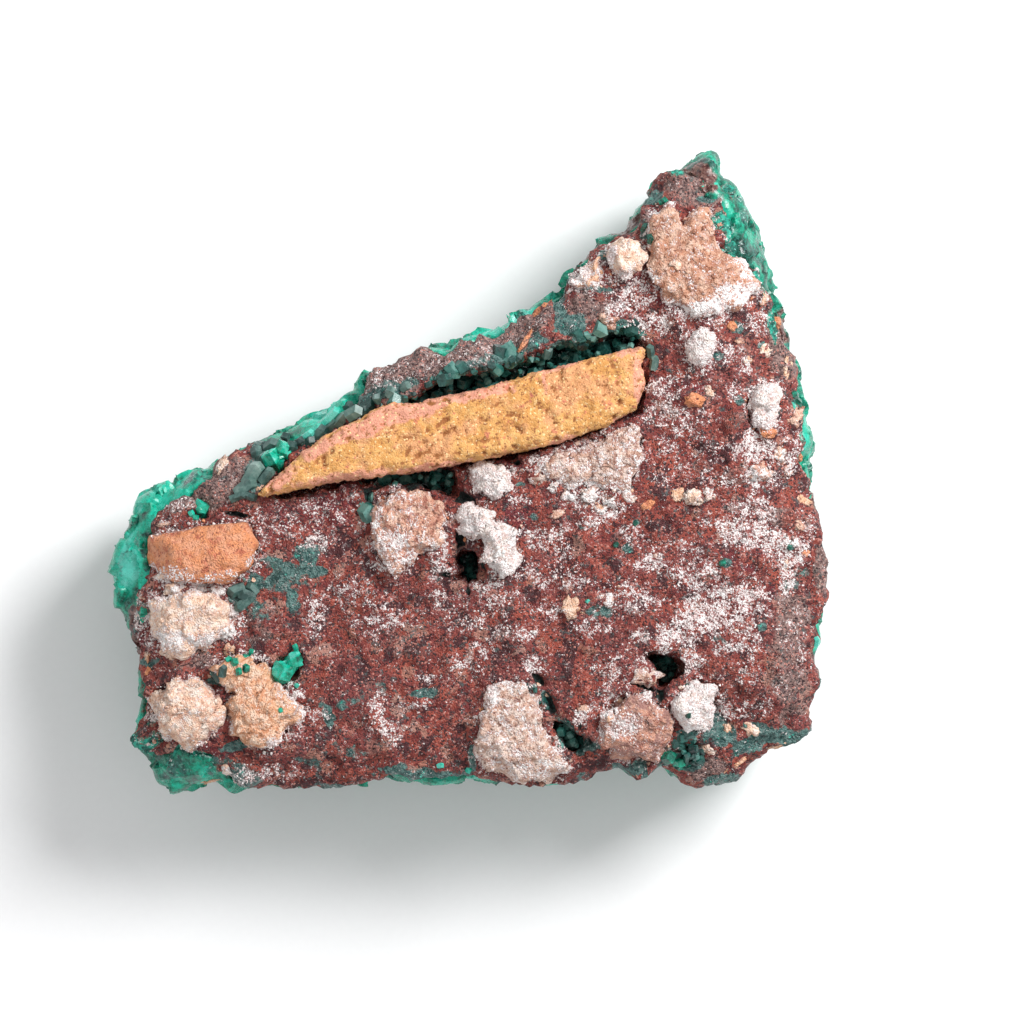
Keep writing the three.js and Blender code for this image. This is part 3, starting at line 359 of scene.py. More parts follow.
MAROON = [
    (-13.4, -1.3, 1.6, 0.8, 1, 10), (-16, -3.6, 6, 2.4, 0.7, 10), (-24.6, -17.4, 1.6, 1, 0.8),
    (-34.2, -17.4, 0.9, 1.8, 0.9), (-25.4, -21.6, 0.5, 1), (-28, -29, 3.4, 0.7, 0.8, 5),
    (20.6, 17.4, 1.6, 0.5, 1, -25), (31.8, -12.4, 0.5, 1.7, 1, 15), (17.4, 6.4, 1.6, 0.6, 1, 40),
    (4.6, 0.6, 1.6, 0.8, 0.9), (5, -4.8, 2.4, 1.4, 0.7, -40), (-19.4, -26, 0.9, 1.6, 0.8, -30),
    (16.6, -1.4, 0.7, 1.6, 0.8), (22, 8.4, 3, 1.4, 0.6, 10), (-31, -28, 1.2, 0.5, 0.8),
    (27.4, -8.8, 2, 0.7, 0.8, -10), (16.8, 20.4, 1.8, 0.4, 0.9), (29, -10.2, 1.6, 0.6, 0.8, -20),
    (-13.6, -24, 1.2, 2, 0.5), (10, 7, 1, 0.5, 0.5), (24.6, 15.8, 0.9, 0.3, 1, 20),
]
print("patches:", len(FROST), "white,", len(STAIN), "blue-green,", len(BROWN) + len(MAROON), "others")

# %% [markdown]
# ## The outline
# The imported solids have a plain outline. Here it gets its small swells and dents: near each listed place the
# skin moves outwards or inwards, level with the table, and the base stays where it was.

# %% Swell the outline
SWELLS = [  # where the outline stands further out or in: x, y, reach, direction outwards in degrees, how far
    (27.4, 29.6, 2.2, 50, 0.6), (0.1, 13.8, 3, 115, 1.3), (4.6, 15.9, 2.6, 118, 1), (7.6, 18, 2.2, 118, 0.6),
    (-10.5, 9.2, 3, 120, 1.2), (-7.3, 11.2, 2.6, 118, 0.9), (-4.8, 12.4, 2, 115, 0.8),
    (-24.2, 1.9, 2.4, 120, 1.1), (-26.4, 0.6, 1.8, 115, 0.9), (-34.4, -2.9, 2.2, 135, 0.7),
    (-36.5, -6.3, 2.2, 165, 0.8), (-36.8, -10.8, 2.8, 180, 1.4), (-34.2, -21, 2.8, 180, 1),
    (-34.3, -28.2, 3.4, 190, 1.1), (-32.2, -31.6, 3, 225, 1.2), (-24.3, -32.9, 3.4, 270, 0.8),
    (-15, -32.6, 5, 270, 0.9), (-3.8, -31.6, 5, 270, 1.6), (10, -31.8, 5, 270, 0.8),
    (17.7, -31, 3, 270, 1.3), (32.6, -28, 2.6, 300, 1.3), (34.8, -26.6, 2.4, 320, 1), (35.8, -22, 3.4, 0, 1),
    (36.2, -17.6, 2.2, 0, 0.8), (35.2, -0.8, 2.6, 5, 0.9), (35.2, 2.8, 2, 5, 0.6), (33.9, 10.2, 3, 10, 1.1),
    (10.7, 22.6, 2.2, 130, -2), (8.8, 20, 1.8, 130, -0.9), (16.4, 26.4, 2.4, 135, -0.8),
    (18.5, 29.4, 2, 140, -0.7), (29.6, 27, 2.2, 25, -0.3), (32.2, 21, 2.4, 15, -0.7),
    (33.4, 15.4, 1.8, 10, -0.2), (36, 5.8, 1.8, 5, -0.6), (-15.4, 6.8, 3, 120, 0.6),
    (-29.5, 0.2, 4, 112, 0.8), (-20.2, 4.4, 3, 120, 0.5), (25.8, 33.4, 2.6, 45, 1.1),
    (-32.6, -1.2, 2.4, 125, 0.6), (14, 23.6, 3, 130, 0.4), (-36.4, -18.2, 2, 180, -0.6),
    (20.4, -32, 2.2, 265, -0.8), (20.9, 31.7, 2, 140, 0.4), (27.4, 29.6, 2.4, 40, 0.6),
    (29.5, 25.9, 2.6, 20, 0.6), (33, 14.4, 3.2, 10, 0.5), (36.6, -6.8, 2, 0, 0.5), (4.2, 17, 2.4, 118, 0.4),
    (35.3, 6.5, 2.6, 5, 0.5), (32.7, 19.6, 1.8, 15, -0.4), (36.6, -15.2, 2.6, 0, 0.7),
    (10.4, 21, 3.6, 130, 0.7), (1.5, 14.9, 2.6, 112, 0.8), (-14.8, 7, 3, 120, 0.6),
    (-22.7, 3.4, 3, 115, 0.7), (-37, -8.2, 2.2, 165, 0.4), (-32.4, -0.6, 2.4, 115, -0.5),
    (-35.6, -16.6, 2, 180, 0.6), (-34.8, -23.4, 2.8, 180, 0.6), (-34.8, -29.4, 2.8, 200, 0.9),
    (-8, -32.2, 3, 270, 0.5), (-20, -33, 3.4, 270, 0.6), (0.1, -32.3, 2.6, 270, 0.7),
    (-15.3, -33.1, 2.6, 270, -0.5), (-21.6, -33.3, 2, 270, -0.3), (34.5, 10.2, 2.2, 10, -0.6),
    (32.7, 19.9, 2, 15, -0.6), (26.4, 32.8, 1.8, 30, -0.7), (30.3, 25.9, 2.6, 20, -0.4),
    (-7.8, 12.3, 2.2, 120, -0.6), (-2.2, 14.2, 2.2, 115, -0.4), (-29.5, 0.5, 2.8, 112, -0.6),
    (-35.4, -4.5, 1.8, 150, 0.6), (-37.9, -10.5, 2, 180, -0.5), (-36.6, -13.7, 1.8, 180, 0.6),
    (-35.3, -21.3, 2.4, 180, -0.5), (-11.1, -32.4, 2.4, 270, 0.5), (-3.3, -32.8, 2.4, 270, -0.5),
    (30.3, -29.7, 1.8, 300, 0.6), (33, -28.9, 1.8, 300, -0.5), (-13.2, 8.1, 1.8, 120, 0.5),
    (-17.7, 5.8, 2.2, 120, 0.5), (37.2, -7.4, 1.8, 0, -0.5), (-1.4, -8.9, 1.5, 200, 0.8),
    (0.7, -8.6, 1.2, 20, 0.5), (19.4, -19.8, 1.6, 150, 0.8), (21.8, -20.9, 1.5, 330, 0.6),
    (20, -22, 1.2, 240, 0.6),
]


SWELL_FROM = 4  # the stone keeps its outline below this height


def swelled(points, rows=SWELLS):
    """The points moved level with the table as the list says, all but those near the table."""
    moved = points.copy()
    for x, y, reach, direction, out in rows:
        near = np.clip(1 - np.hypot(points[:, 0] - x, points[:, 1] - y) / reach, 0, 1)
        share = near * near * (3 - 2 * near) * fade_in(points[:, 2], SWELL_FROM, 5)
        moved[:, 0] += math.cos(math.radians(direction)) * out * share
        moved[:, 1] += math.sin(math.radians(direction)) * out * share
    return moved


print("places where the outline swells or draws in:", len(SWELLS))

# %% [markdown]
# ## Helpers for finishes
# Every finish is a small graph of shader nodes. A little class keeps the graph and has a short name for each
# kind of node it needs. Its colour is laid on in coats, as a painter would, each where some mask allows.
# Textures are given the size of their grains in millimetres, since that is how a stone is described.

# %% Finish helpers


def paint(color, shade=1.0):
    """A colour given as 0 to 255 on the screen, as the light values that Blender wants."""
    screen = [v * shade / 255 for v in color]
    return tuple(v / 12.92 if v <= 0.04045 else ((v + 0.055) / 1.055) ** 2.4 for v in screen) + (1.0,)


class Finish:
    """A material in the making. Its colour is built up in coats, each laid over the ones before."""

    def __init__(self, name):
        self.material = bpy.data.materials.new(name)
        self.material.use_nodes = True
        self.tree = self.material.node_tree
        self.shader = self.tree.nodes["Principled BSDF"]
        self.color = None
        spot = self.add("TexCoord").outputs["Object"]  # in metres
        self.place = self.out("VectorMath", {0: spot, "Scale": 1 / MM}, operation="SCALE")

    def fill(self, socket, value):
        """Gives a socket a value, or links it to another node's output."""
        if isinstance(value, bpy.types.NodeSocket):
            self.tree.links.new(value, socket)
        else:
            socket.default_value = value

    def add(self, kind, sockets=None, **settings):
        """Adds a shader node, sets it and fills its sockets."""
        made = self.tree.nodes.new("ShaderNode" + kind)
        for key, value in settings.items():
            setattr(made, key, value)
        for key, value in (sockets or {}).items():
            self.fill(made.inputs[key], value)
        return made

    def out(self, kind, sockets, **settings):
        """The first output of a new node."""
        return self.add(kind, sockets, **settings).outputs[0]

    def math(self, operation, a, b=0.5):
        """The two numbers put together in this way."""
        return self.out("Math", {0: a, 1: b}, operation=operation)

    def sum_of(self, a, b, share=1.0):
        """a + b * share."""
        return self.out("Math", {0: b, 1: share, 2: a}, operation="MULTIPLY_ADD")

    def ramp(self, value, low=0.0, high=1.0, ends=(0.0, 1.0), **settings):
        """The first end below low, the second above high, and a slope between them."""
        return self.out("MapRange", {0: value, 1: low, 2: high, 3: ends[0], 4: ends[1]}, **settings)

    def step(self, value, low, high):
        """0 below low, 1 above high, and a soft step between them."""
        return self.ramp(value, low, high, interpolation_type="SMOOTHSTEP")

    def stored(self, name):
        """The number that was stored for each point under this name."""
        return self.add("Attribute", attribute_name=name).outputs["Fac"]

    def clouds(self, size, detail, shift=0.0, place=None):
        """Cloudy noise from 0 to 1 with patches of this size. The shift only moves the pattern."""
        moved = self.out("VectorMath", {0: place or self.place, 1: (shift,) * 3}, operation="ADD")
        sockets = {"Vector": moved, "Scale": 1 / size, "Detail": detail, "Roughness": 0.62}
        return self.out("TexNoise", sockets)

    def cells(self, size, place=None):
        """Two random numbers from 0 to 1 for each tiny grain of the stone, and how far its middle is."""
        voronoi = self.add("TexVoronoi", {"Vector": place or self.place, "Scale": 1 / size})
        split = self.add("SeparateColor", {0: voronoi.outputs["Color"]})
        return split.outputs[0], split.outputs[1], voronoi.outputs["Distance"]

    def bend(self, size, reach):
        """The place moved about by noise of this size, up to this far, to fray whatever is drawn there."""
        color = self.add("TexNoise", {"Vector": self.place, "Scale": 1 / size, "Detail": 3.0}).outputs[1]
        centred = self.out("VectorMath", {0: color, 1: (0.5,) * 3}, operation="SUBTRACT")
        return self.out("VectorMath", {0: centred, 1: (2 * reach,) * 3, 2: self.place},
                        operation="MULTIPLY_ADD")

    def facet_height(self, size, place):
        """The height of small slanting faces side by side, in millimetres: each cell tips its own way."""
        voronoi = self.add("TexVoronoi", {"Vector": place, "Scale": 1 / size})
        across = self.out("VectorMath", {0: place, 1: voronoi.outputs["Position"]}, operation="SUBTRACT")
        lean = self.out("VectorMath", {0: voronoi.outputs["Color"], 1: (0.5,) * 3}, operation="SUBTRACT")
        return self.add("VectorMath", {0: across, 1: lean}, operation="DOT_PRODUCT").outputs["Value"]

    def blend(self, share, first, second):
        """The first colour, going over to the second where share is 1. A colour is on the 0 to 255 scale."""
        pair = [paint(c) if isinstance(c, tuple) and len(c) == 3 else c for c in (first, second)]
        return self.add("Mix", {0: share, 6: pair[0], 7: pair[1]}, data_type="RGBA").outputs[2]

    def coat(self, color, share, low=None, high=None):
        """Lays a colour over the stone, where share is 1 or where it passes from low to high."""
        if low is not None:
            share = self.step(share, low, high)
        self.color = self.blend(share, self.color, color)

    def done(self, roughness, height=None, depth=0.0):
        """The material, with a relief of this depth in millimetres for the light to catch."""
        self.fill(self.shader.inputs["Base Color"], self.color)
        self.fill(self.shader.inputs["Roughness"], roughness)
        if height is not None:
            bump = self.out("Bump", {"Height": height, "Strength": 1.0, "Distance": depth * MM})
            self.fill(self.shader.inputs["Normal"], bump)
        return self.material


def finish_piece(piece, finish, slot, *nodes, smooth=True):
    """Brings the piece to metres, gives it its finish and fixes it to the specimen."""
    piece.data.transform(Matrix.Scale(MM, 4))
    piece.data.materials.clear()
    piece.data.materials.append(finish)
    piece.data.polygons.foreach_set("use_smooth", [smooth] * len(piece.data.polygons))
    piece.data.update()
    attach(piece, "root")
    if nodes:
        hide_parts(*nodes)
    piece.data.calc_loop_triangles()
    print(piece.name, len(piece.data.loop_triangles), "triangles")


print("mid grey on the screen is", round(paint((128, 128, 128))[0], 3), "in light values")

# %% [markdown]
# ## Grains and white sugar in the finishes
# Close up, all this stone is made of grains a fifth of a millimetre across, each a little lighter or darker
# than its neighbour. Tiny white crystals lie among them like sugar: thinly nearly everywhere, thickly in the
# frosted places. In a finish each grain gets a random number, and turns white where that number is below
# the share of sugar at that place.

# %% Grains and white sugar
GRAIN_SIZE = 0.19


class StoneFinish(Finish):
    """A finish that can also show the grains of the stone."""

    def grainy(self, color, dark, light, dark_share, light_share):
        """The colour with some of its grains darker and some lighter."""
        value = self.cells(GRAIN_SIZE)[0]
        color = self.blend(self.step(value, dark_share, dark_share * 0.4), color, dark)
        return self.blend(self.step(value, 1 - light_share, 1 - light_share * 0.4), color, light)

    def relief(self, fine, share):
        """The height of the grains and of the fine clouds between them."""
        return self.sum_of(fine, self.cells(GRAIN_SIZE)[2], -share)

    def sugar(self, least, most):
        """Lays white grains over the colour. Least and most are their share off the frost and in it. Thick
        frost is whitest; single grains let the stone shine through."""
        clumps = self.step(self.clouds(1.0, 5, 11), 0.38, 0.62)
        thin = self.ramp(clumps, ends=(least * 0.4, least * 1.6))
        spread = self.ramp(clumps, ends=(most * 0.55, most))
        share = self.sum_of(thin, spread, self.stored("frost"))
        lace = self.ramp(self.clouds(0.32, 3, 17), 0.28, 0.72)
        off = self.math("SUBTRACT", self.clouds(0.36, 3, 27), 0.5)
        threads = self.ramp(self.math("ABSOLUTE", off), 0.0, 0.13)  # 0 along fine winding threads
        dust = self.step(self.sum_of(share, lace, -0.5), -0.05, 0.35)
        self.coat((178, 132, 132), self.math("MULTIPLY", dust, 0.50))
        value = self.cells(GRAIN_SIZE, self.bend(0.5, 0.10))[1]
        mixed = self.sum_of(self.math("MULTIPLY", value, 0.22), lace, 0.36)
        white = self.step(self.sum_of(share, self.sum_of(mixed, threads, 0.46), -1.0), -0.05, 0.04)
        tone = self.step(self.sum_of(share, value, -0.7), -0.30, 0.15)
        self.coat(self.blend(tone, (198, 172, 172), (238, 233, 231)), white)


print("the grains of the stone are", GRAIN_SIZE, "mm across")

# %% [markdown]
# ## The red breccia
# This rock is sand and broken stone stained by iron. It is brick red in the middle, maroon in the hollows
# and brown-grey where it has weathered, with blue-green copper stain beside the crystals. The imported solid
# has its swells and ledges. Its new skin gets lumps of a few millimetres, a finer roughness, a few rounded
# red knobs, and narrow cracks that run on from the hollows, pressed in and painted near black as shade.

# %% Shape the breccia
ROCK_CELL = 0.56  # of its skin; half of that on the upper face
TOP_FROM = 13.0  # the skin is finer above this height, where it faces up
UP_FROM = 0.3  # a face whose direction rises by more than this counts as facing up
FACE_FROM = 15.0  # the crumbs and the lip by the crust keep above this height
KNOBS = [  # rounded red knobs: x, y, radius, height
    (-16.2, -23.6, 1.15, 0.6), (27.4, -12.7, 0.7, 0.25), (23.9, -13.1, 0.6, 0.2), (26.6, -22.9, 1.4, 0.35),
    (25.2, -20.3, 1.3, 0.3), (21.6, -15.4, 0.7, 0.25), (28.4, -8.7, 0.9, 0.3), (24.1, 0.7, 0.8, 0.4),
    (27.8, -0.4, 1, 0.45), (27.3, 5.3, 1.2, 0.45), (29.7, -2.7, 0.7, 0.3), (26.2, -0.8, 0.6, 0.3),
    (22.5, -0.6, 0.6, 0.3), (12, -26.8, 1.3, 0.5), (16, -7.2, 1, 0.4), (27.2, -20.6, 0.9, 0.25),
    (24.8, -8.4, 0.6, 0.25), (30.6, -9.6, 0.9, 0.3), (33.4, -4.9, 1.3, 0.3), (14.4, 16.1, 0.9, 0.4),
]
EMERALD = [  # where sheets of dioptase reach in over the rock
    (27.6, 25.2, 1.8, 3.6, 1, 16), (29.6, 20.4, 1.2, 2.4, 1, 14), (25.4, 30.2, 0.8, 2.2, 0.9, 30),
    (26.6, 22.6, 1.6, 1.4), (23.8, 33, 1.4, 0.9, 1, 20), (22.6, 31.6, 2, 0.6, 0.8, 35),
    (18.4, 29.6, 0.8, 1.6, 0.7, -30), (31.6, 15.4, 0.5, 1.6, 0.8, 10), (34.4, 6.6, 0.6, 1.4, 1, 5),
    (34.8, 2, 0.5, 2.2, 0.9, 5), (-33.4, -3.4, 2.4, 1, 0.9, 40), (-29.2, -0.9, 2.6, 0.6, 0.9, 25),
    (-29, -29.9, 3.2, 1.2, 1, -10), (-33.2, -28.8, 0.9, 1.8, 0.9), (-24.4, -32, 2.2, 0.5, 0.8),
    (-3.4, -31.4, 3.6, 0.5, 0.9), (21.6, -30.6, 1.2, 0.9, 0.9), (-9, 11, 2.4, 0.5, 0.8, 25),
    (2.2, 14.4, 3.4, 0.5, 0.8, 18), (-19, 4.2, 2.2, 0.6, 0.8, 25),
]
CRACKS = [  # where the rock is pressed in and painted black as shade: the narrow openings that run on from the hollows
    (-1, -7.5, 0.35, 1, 1, 15), (0.5, -10.4, 0.8, 0.8), (-0.8, -11.1, 2.2, 0.32, 1, -8),
    (-0.3, -12.2, 0.22, 0.7, 0.9), (-9.8, -0.9, 2, 0.8, 1, 10), (-10.8, -2.6, 0.6, 1.3, 1, 20),
    (-5.4, -1.2, 1.8, 0.7, 1, 8), (-0.8, -2.8, 1.2, 0.55, 1, -35), (4.6, 1.2, 0.8, 0.4, 0.9, -30),
    (19.9, -22.9, 0.45, 1.3, 1, -15), (18, -22.4, 1.3, 0.22, 0.9, -20), (19.4, -19.6, 0.5, 0.6),
    (7.1, -21.9, 0.4, 0.9, 0.8, 40), (8.3, -24.6, 0.5, 1, 0.9, 15), (11.4, -27.9, 1.4, 0.35, 1, -20),
    (23, -26.2, 0.8, 0.4, 0.8), (11.4, -26.6, 0.3, 0.4, 0.6), (-16.9, -2, 0.8, 0.2, 0.6, 15),
    (-24.6, -4.5, 1.7, 0.3, 1, -5),
]
CLASTS = [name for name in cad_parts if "_clast" in name and not name.startswith("dioptase")]


def in_socket(points, outward, reach=7.0):
    """1 on the walls of the sockets, where more of the same rock stands opposite, else 0."""
    found = np.zeros(len(points))
    skin = skin_tree(breccia, points)
    for i in np.flatnonzero((np.abs(outward[:, 2]) < 0.85) & (points[:, 2] > TOP_FROM)):
        level = Vector((outward[i, 0], outward[i, 1], 0)).normalized()
        found[i] = skin.ray_cast(Vector(points[i]) + 0.4 * level, level, reach)[0] is not None
    return found


breccia = piece_from("matrix", "red_breccia")
new_skin(breccia, ROCK_CELL, rounds=3)
split_faces(breccia, 1, lambda face: face.normal.z > UP_FROM and face.calc_center_median().z > TOP_FROM)
rock, outward = skin_of(breccia)
loose = fade_in(rock[:, 2], 0.4, 1.6)  # the broken base stays flat on the table
upward = fade_in(outward[:, 2], -0.1, 0.5)
on_face = rock[:, 2] > FACE_FROM
fray = 0.55 * grain(rock, 1.7, 4)
beside = nearness(rock, tree_of([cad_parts[name] for name in CLASTS]), 1.5)
crack = patch_cover(rock, CRACKS, fray) * upward
sheet = patch_cover(rock, EMERALD, fray) * upward
frosted_edge = 1.3 * np.clip(beside + 0.9 * fray - 0.35, 0, 0.5)  # sugar also gathers round the lumps
frost = np.maximum(patch_cover(rock, FROST, fray), frosted_edge) * upward
frost *= (1 - crack) * (1 - 0.7 * sheet)
crumbly = (np.clip(1.4 * beside * upward + 0.5 * np.clip(frost - 0.3, 0, 1), 0, 1) + 1e-6) * on_face
rolling = 0.9 * grain(rock, 5.5, 3, 3.0) + 0.25 * grain(rock, 1.6, 3, 9.0)
push = 0.75 * (ledges(rolling, 0.42) - 0.1) + 0.24 * grain(rock, 1.5, 5, 5.0, 0.45)
push += 0.8 * (1 - upward) * grain(rock, 2.6, 4, 17.0)
sugar_lumps = 0.12 * frost * grain(rock, 0.7, 2, 1.0)
push += 0.10 * (lumps(rock, 0.8) - 0.4) + sugar_lumps + 0.26 * in_socket(rock, outward)
push += 0.75 * upward * beside * (1 - crack) - 1.1 * crack
push += 1.5 * upward * nearness(rock, tree_of([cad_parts["dioptase_crust"]]), 2.6) * on_face
for x, y, radius, height in KNOBS:
    off = np.hypot(rock[:, 0] - x, rock[:, 1] - y) / radius
    push += height * upward * np.sqrt(np.clip(1 - off * off, 0, 1))
move_points(breccia, swelled(rock + outward * (push * loose)[:, None]))
knob_tops = [(x, y, radius * 0.75, radius * 0.75) for x, y, radius, _ in KNOBS]
store(breccia, frost=frost, stain=patch_cover(rock, STAIN, fray), brown=patch_cover(rock, BROWN, fray),
      maroon=patch_cover(rock, MAROON, fray), emerald=sheet, crack=crack,
      knob=patch_cover(rock, knob_tops, 0.3 * fray) * upward)
print("breccia skin:", len(rock), "points")

# %% Finish the breccia
look = StoneFinish("red_breccia")
broad, middle, fine = look.clouds(5.0, 4), look.clouds(1.5, 5, 3), look.clouds(0.42, 3, 7)
look.color = look.blend(look.step(middle, 0.36, 0.64), (114, 42, 40), (162, 76, 60))
look.coat((128, 60, 56), broad, 0.44, 0.64)
pebble, pebble_tone, _ = look.cells(1.25, look.bend(0.9, 0.8))
look.coat(look.blend(pebble_tone, (160, 98, 80), (172, 128, 116)), pebble, 0.91, 0.94)
look.coat((76, 28, 31), pebble, 0.16, 0.12)
look.coat((108, 32, 39), look.sum_of(fine, look.stored("maroon"), 0.5), 0.6, 0.95)
brown = look.blend(look.step(fine, 0.4, 0.6), (104, 77, 73), (156, 127, 120))
look.coat(brown, look.sum_of(middle, look.stored("brown"), 0.75), 0.78, 1.05)
look.coat((136, 62, 50), look.stored("knob"))
look.coat((78, 86, 85), look.clouds(0.7, 4, 71), 0.55, 0.68)
look.coat((50, 28, 32), look.clouds(0.30, 3, 41), 0.46, 0.36)
look.color = look.grainy(look.color, (50, 26, 29), (186, 122, 110), 0.16, 0.10)
teal = look.blend(look.step(fine, 0.40, 0.60), (34, 72, 70), (92, 124, 119))
teal = look.blend(look.step(look.clouds(0.6, 4, 51), 0.60, 0.70), teal, (58, 168, 150))
stained = look.step(look.sum_of(look.clouds(0.9, 4, 31), look.stored("stain"), 0.66), 0.76, 0.92)
look.coat(teal, stained)
green = look.blend(look.step(look.clouds(0.8, 4, 81), 0.40, 0.62), (10, 92, 80), (48, 176, 152))
green = look.grainy(green, (14, 56, 52), (120, 200, 184), 0.12, 0.06)
look.coat(green, look.sum_of(middle, look.stored("emerald"), 0.7), 0.80, 0.98)
look.sugar(0.15, 0.41)
# painted shade: the cracks are coloured near black for the shade inside them, with a few lighter teal glints
# painted in
black = look.blend(look.step(fine, 0.50, 0.66), (11, 20, 20), (30, 66, 62))
look.coat(black, look.stored("crack"), 0.30, 0.55)
roughness = look.ramp(stained, ends=(0.72, 0.42))  # the stained rock is a little glossier
finish_piece(breccia, look.done(roughness, look.relief(fine, 0.7), 0.20), "brick_red_breccia", "matrix")

# %% [markdown]
# ## The ochre blade
# The longest fragment is a slab of soft yellow sandstone that stands a little proud of the face. Its broken
# top is all crumbs and pits, and a pinker, harder skin runs along its back edge and round its right end.
# So it gets a finer skin than the rock, sunk in small pits, and a stored value that marks the pink parts.

# %% Shape and finish the blade
BLADE_CELL = 0.26
PINK_EDGE = [
    (-7.5, 5.6, 8, 0.8, 1, 20), (0, 8, 4.5, 0.6, 1, 10), (-15.5, 2.4, 3.4, 0.6, 0.9, 34),
    (-19.8, -1, 1.6, 0.8, 0.9, 30), (15.6, 5, 2.2, 0.8, 0.9, 34), (17.3, 9.4, 0.5, 3.4, 0.8, 5),
    (9.5, 3.1, 4.5, 0.45, 0.75, 14), (-2, 0.8, 8, 0.35, 0.7, 6), (16.4, 12.6, 1.6, 0.5, 0.9, 15),
    (7.6, 9.8, 0.25, 1.6, 0.7, 10), (9.6, 10.8, 2.8, 0.3, 0.7, 18), (-13, -0.4, 6, 0.4, 0.6, 8),
]
blade = piece_from("ochre_blade", "ochre_blade_stone")
new_skin(blade, BLADE_CELL, rounds=2)
points, outward = skin_of(blade)
pits = np.clip(grain(points, 0.75, 3, 4.0) - 0.30 + 0.28 * grain(points, 2.6, 2, 31.0), 0, 1)
push = 0.18 + 0.24 * grain(points, 1.6, 5, 0.0, 0.4) + 0.05 * (lumps(points, 0.6) - 0.4) - 0.60 * pits
move_points(blade, swelled(points + outward * push[:, None], [(-8.4, 6.0, 4.0, 110, 0.5)]))
store(blade, pink=patch_cover(points, PINK_EDGE, 0.6 * grain(points, 1.2, 3)), pit=pits)

look = StoneFinish("ochre_sandstone")
broad, middle, fine = look.clouds(3.4, 4, 21), look.clouds(1.2, 6), look.clouds(0.33, 5, 3)
look.color = look.blend(look.step(middle, 0.38, 0.62), (214, 152, 84), (232, 178, 110))
look.coat((222, 160, 112), broad, 0.46, 0.62)
look.coat((244, 202, 142), fine, 0.56, 0.70)
look.coat((188, 124, 70), fine, 0.44, 0.32)
pink = look.blend(fine, (206, 128, 104), (250, 186, 158))
look.coat(pink, look.sum_of(fine, look.stored("pink"), 0.9), 0.66, 1.05)
look.coat((206, 124, 96), look.clouds(0.9, 5, 15), 0.58, 0.68)
look.coat((164, 104, 58), look.stored("pit"), 0.03, 0.3)
look.color = look.grainy(look.color, (166, 108, 66), (246, 208, 154), 0.10, 0.07)
finish_piece(blade, look.done(0.85, look.relief(fine, 0.6), 0.12), "ochre_sandstone", "ochre_blade")

# %% [markdown]
# ## The pale lumps
# The other fragments are lumps of pink and cream stone, knobbly like cauliflower, frosted with sugar on
# their lower sides. They share one finish with different colours: a main one, a lighter one in cloudy patches
# and a darker one, which also goes into the creases between the knobs as painted shade. Each lump's skin is
# pushed out in rounded knobs, which also closes the thin gap that the imported solids leave round it.

# %% Finish of the lumps
LUMP_COLORS = {  # main, lighter and darker colour, and the share of sugar off the frost and in it
    "terracotta": ((222, 144, 98), (230, 162, 126), (190, 106, 78), 0.05, 0.55),
    "cream": ((238, 200, 174), (248, 230, 216), (218, 166, 140), 0.22, 0.8),
    "peach": ((230, 176, 140), (242, 210, 186), (204, 138, 100), 0.16, 0.8),
    "rose": ((206, 148, 124), (230, 192, 170), (152, 90, 74), 0.20, 0.7),
    "white": ((240, 230, 224), (250, 247, 245), (212, 186, 176), 0.36, 0.8),
    "pale": ((206, 166, 146), (232, 212, 200), (146, 96, 80), 0.30, 0.8),
    "salmon": ((196, 140, 112), (222, 184, 162), (162, 102, 76), 0.22, 0.85),
}


def lump_finish(name, main, light, dark, least, most):
    """Knobbly stone in three colours. Near the rock it takes on the rock's colour."""
    look = StoneFinish(name)
    middle, fine = look.clouds(1.1, 6), look.clouds(0.36, 3, 3)
    look.color = look.blend(look.step(middle, 0.42, 0.6), main, light)
    look.coat(dark, look.clouds(0.9, 6, 9), 0.50, 0.68)
    look.coat(light, fine, 0.56, 0.70)
    look.coat(paint(dark, 0.80), fine, 0.44, 0.32)
    look.coat(paint(dark, 0.60), look.clouds(0.26, 4, 43), 0.38, 0.30)
    # painted shade: the darker colour is laid into the creases between the knobs
    look.coat(dark, look.stored("crease"), 0.35, 1.0)
    rim = look.blend(fine, (112, 62, 58), (186, 142, 130))
    look.coat(rim, look.sum_of(middle, look.stored("rim"), 0.6), 0.78, 1.0)
    look.sugar(least, most)
    return look.done(0.62, look.relief(fine, 0.7), 0.20)


LUMP_FINISHES = {kind: lump_finish(kind + "_stone", *row) for kind, row in LUMP_COLORS.items()}
print("kinds of pale stone:", ", ".join(LUMP_FINISHES))

# %% Shape the lumps
LUMPS = [  # node, piece, kind of stone, width of its knobs, height of its knobs, share of rock over it
    ("terracotta_clast", "terracotta_block", "terracotta", 1.6, 0.06, 0.0),
    ("cream_clast_left", "cream_lump_left", "cream", 1.7, 0.24, 0.0),
    ("cream_clast_front_left", "cream_lump_front", "cream", 1.2, 0.40, 0.0),
    ("cream_clast_back", "cream_lump_back", "cream", 1.4, 0.30, 0.2),
    ("peach_clast", "peach_lump", "peach", 1.2, 0.42, 0.0),
    ("tan_clast_back", "tan_lump_back", "peach", 1.2, 0.30, 0.2),
    ("rose_clast_middle", "rose_lump_middle", "rose", 1.3, 0.36, 0.1),
    ("rose_clast_front", "rose_lump_front", "rose", 1.3, 0.40, 0.66),
    ("white_clast_middle", "white_lump_middle", "white", 1.0, 0.40, 0.0),
    ("white_clast_by_blade", "white_lump_by_blade", "white", 1.0, 0.36, 0.1),
    ("white_clast_back", "white_lump_back", "white", 0.9, 0.32, 0.3),
    ("white_clast_right", "white_lump_right", "white", 0.9, 0.36, 0.3),
    ("white_clast_front", "white_lump_front", "white", 0.9, 0.36, 0.3),
    ("pale_clast_by_blade", "pale_lump_by_blade", "pale", 1.1, 0.36, 0.2),
    ("pale_clast_front", "pale_lump_front", "pale", 1.1, 0.28, 0.2),
    ("salmon_clast_back", "salmon_lump_back", "salmon", 1.4, 0.34, 0.2),
]
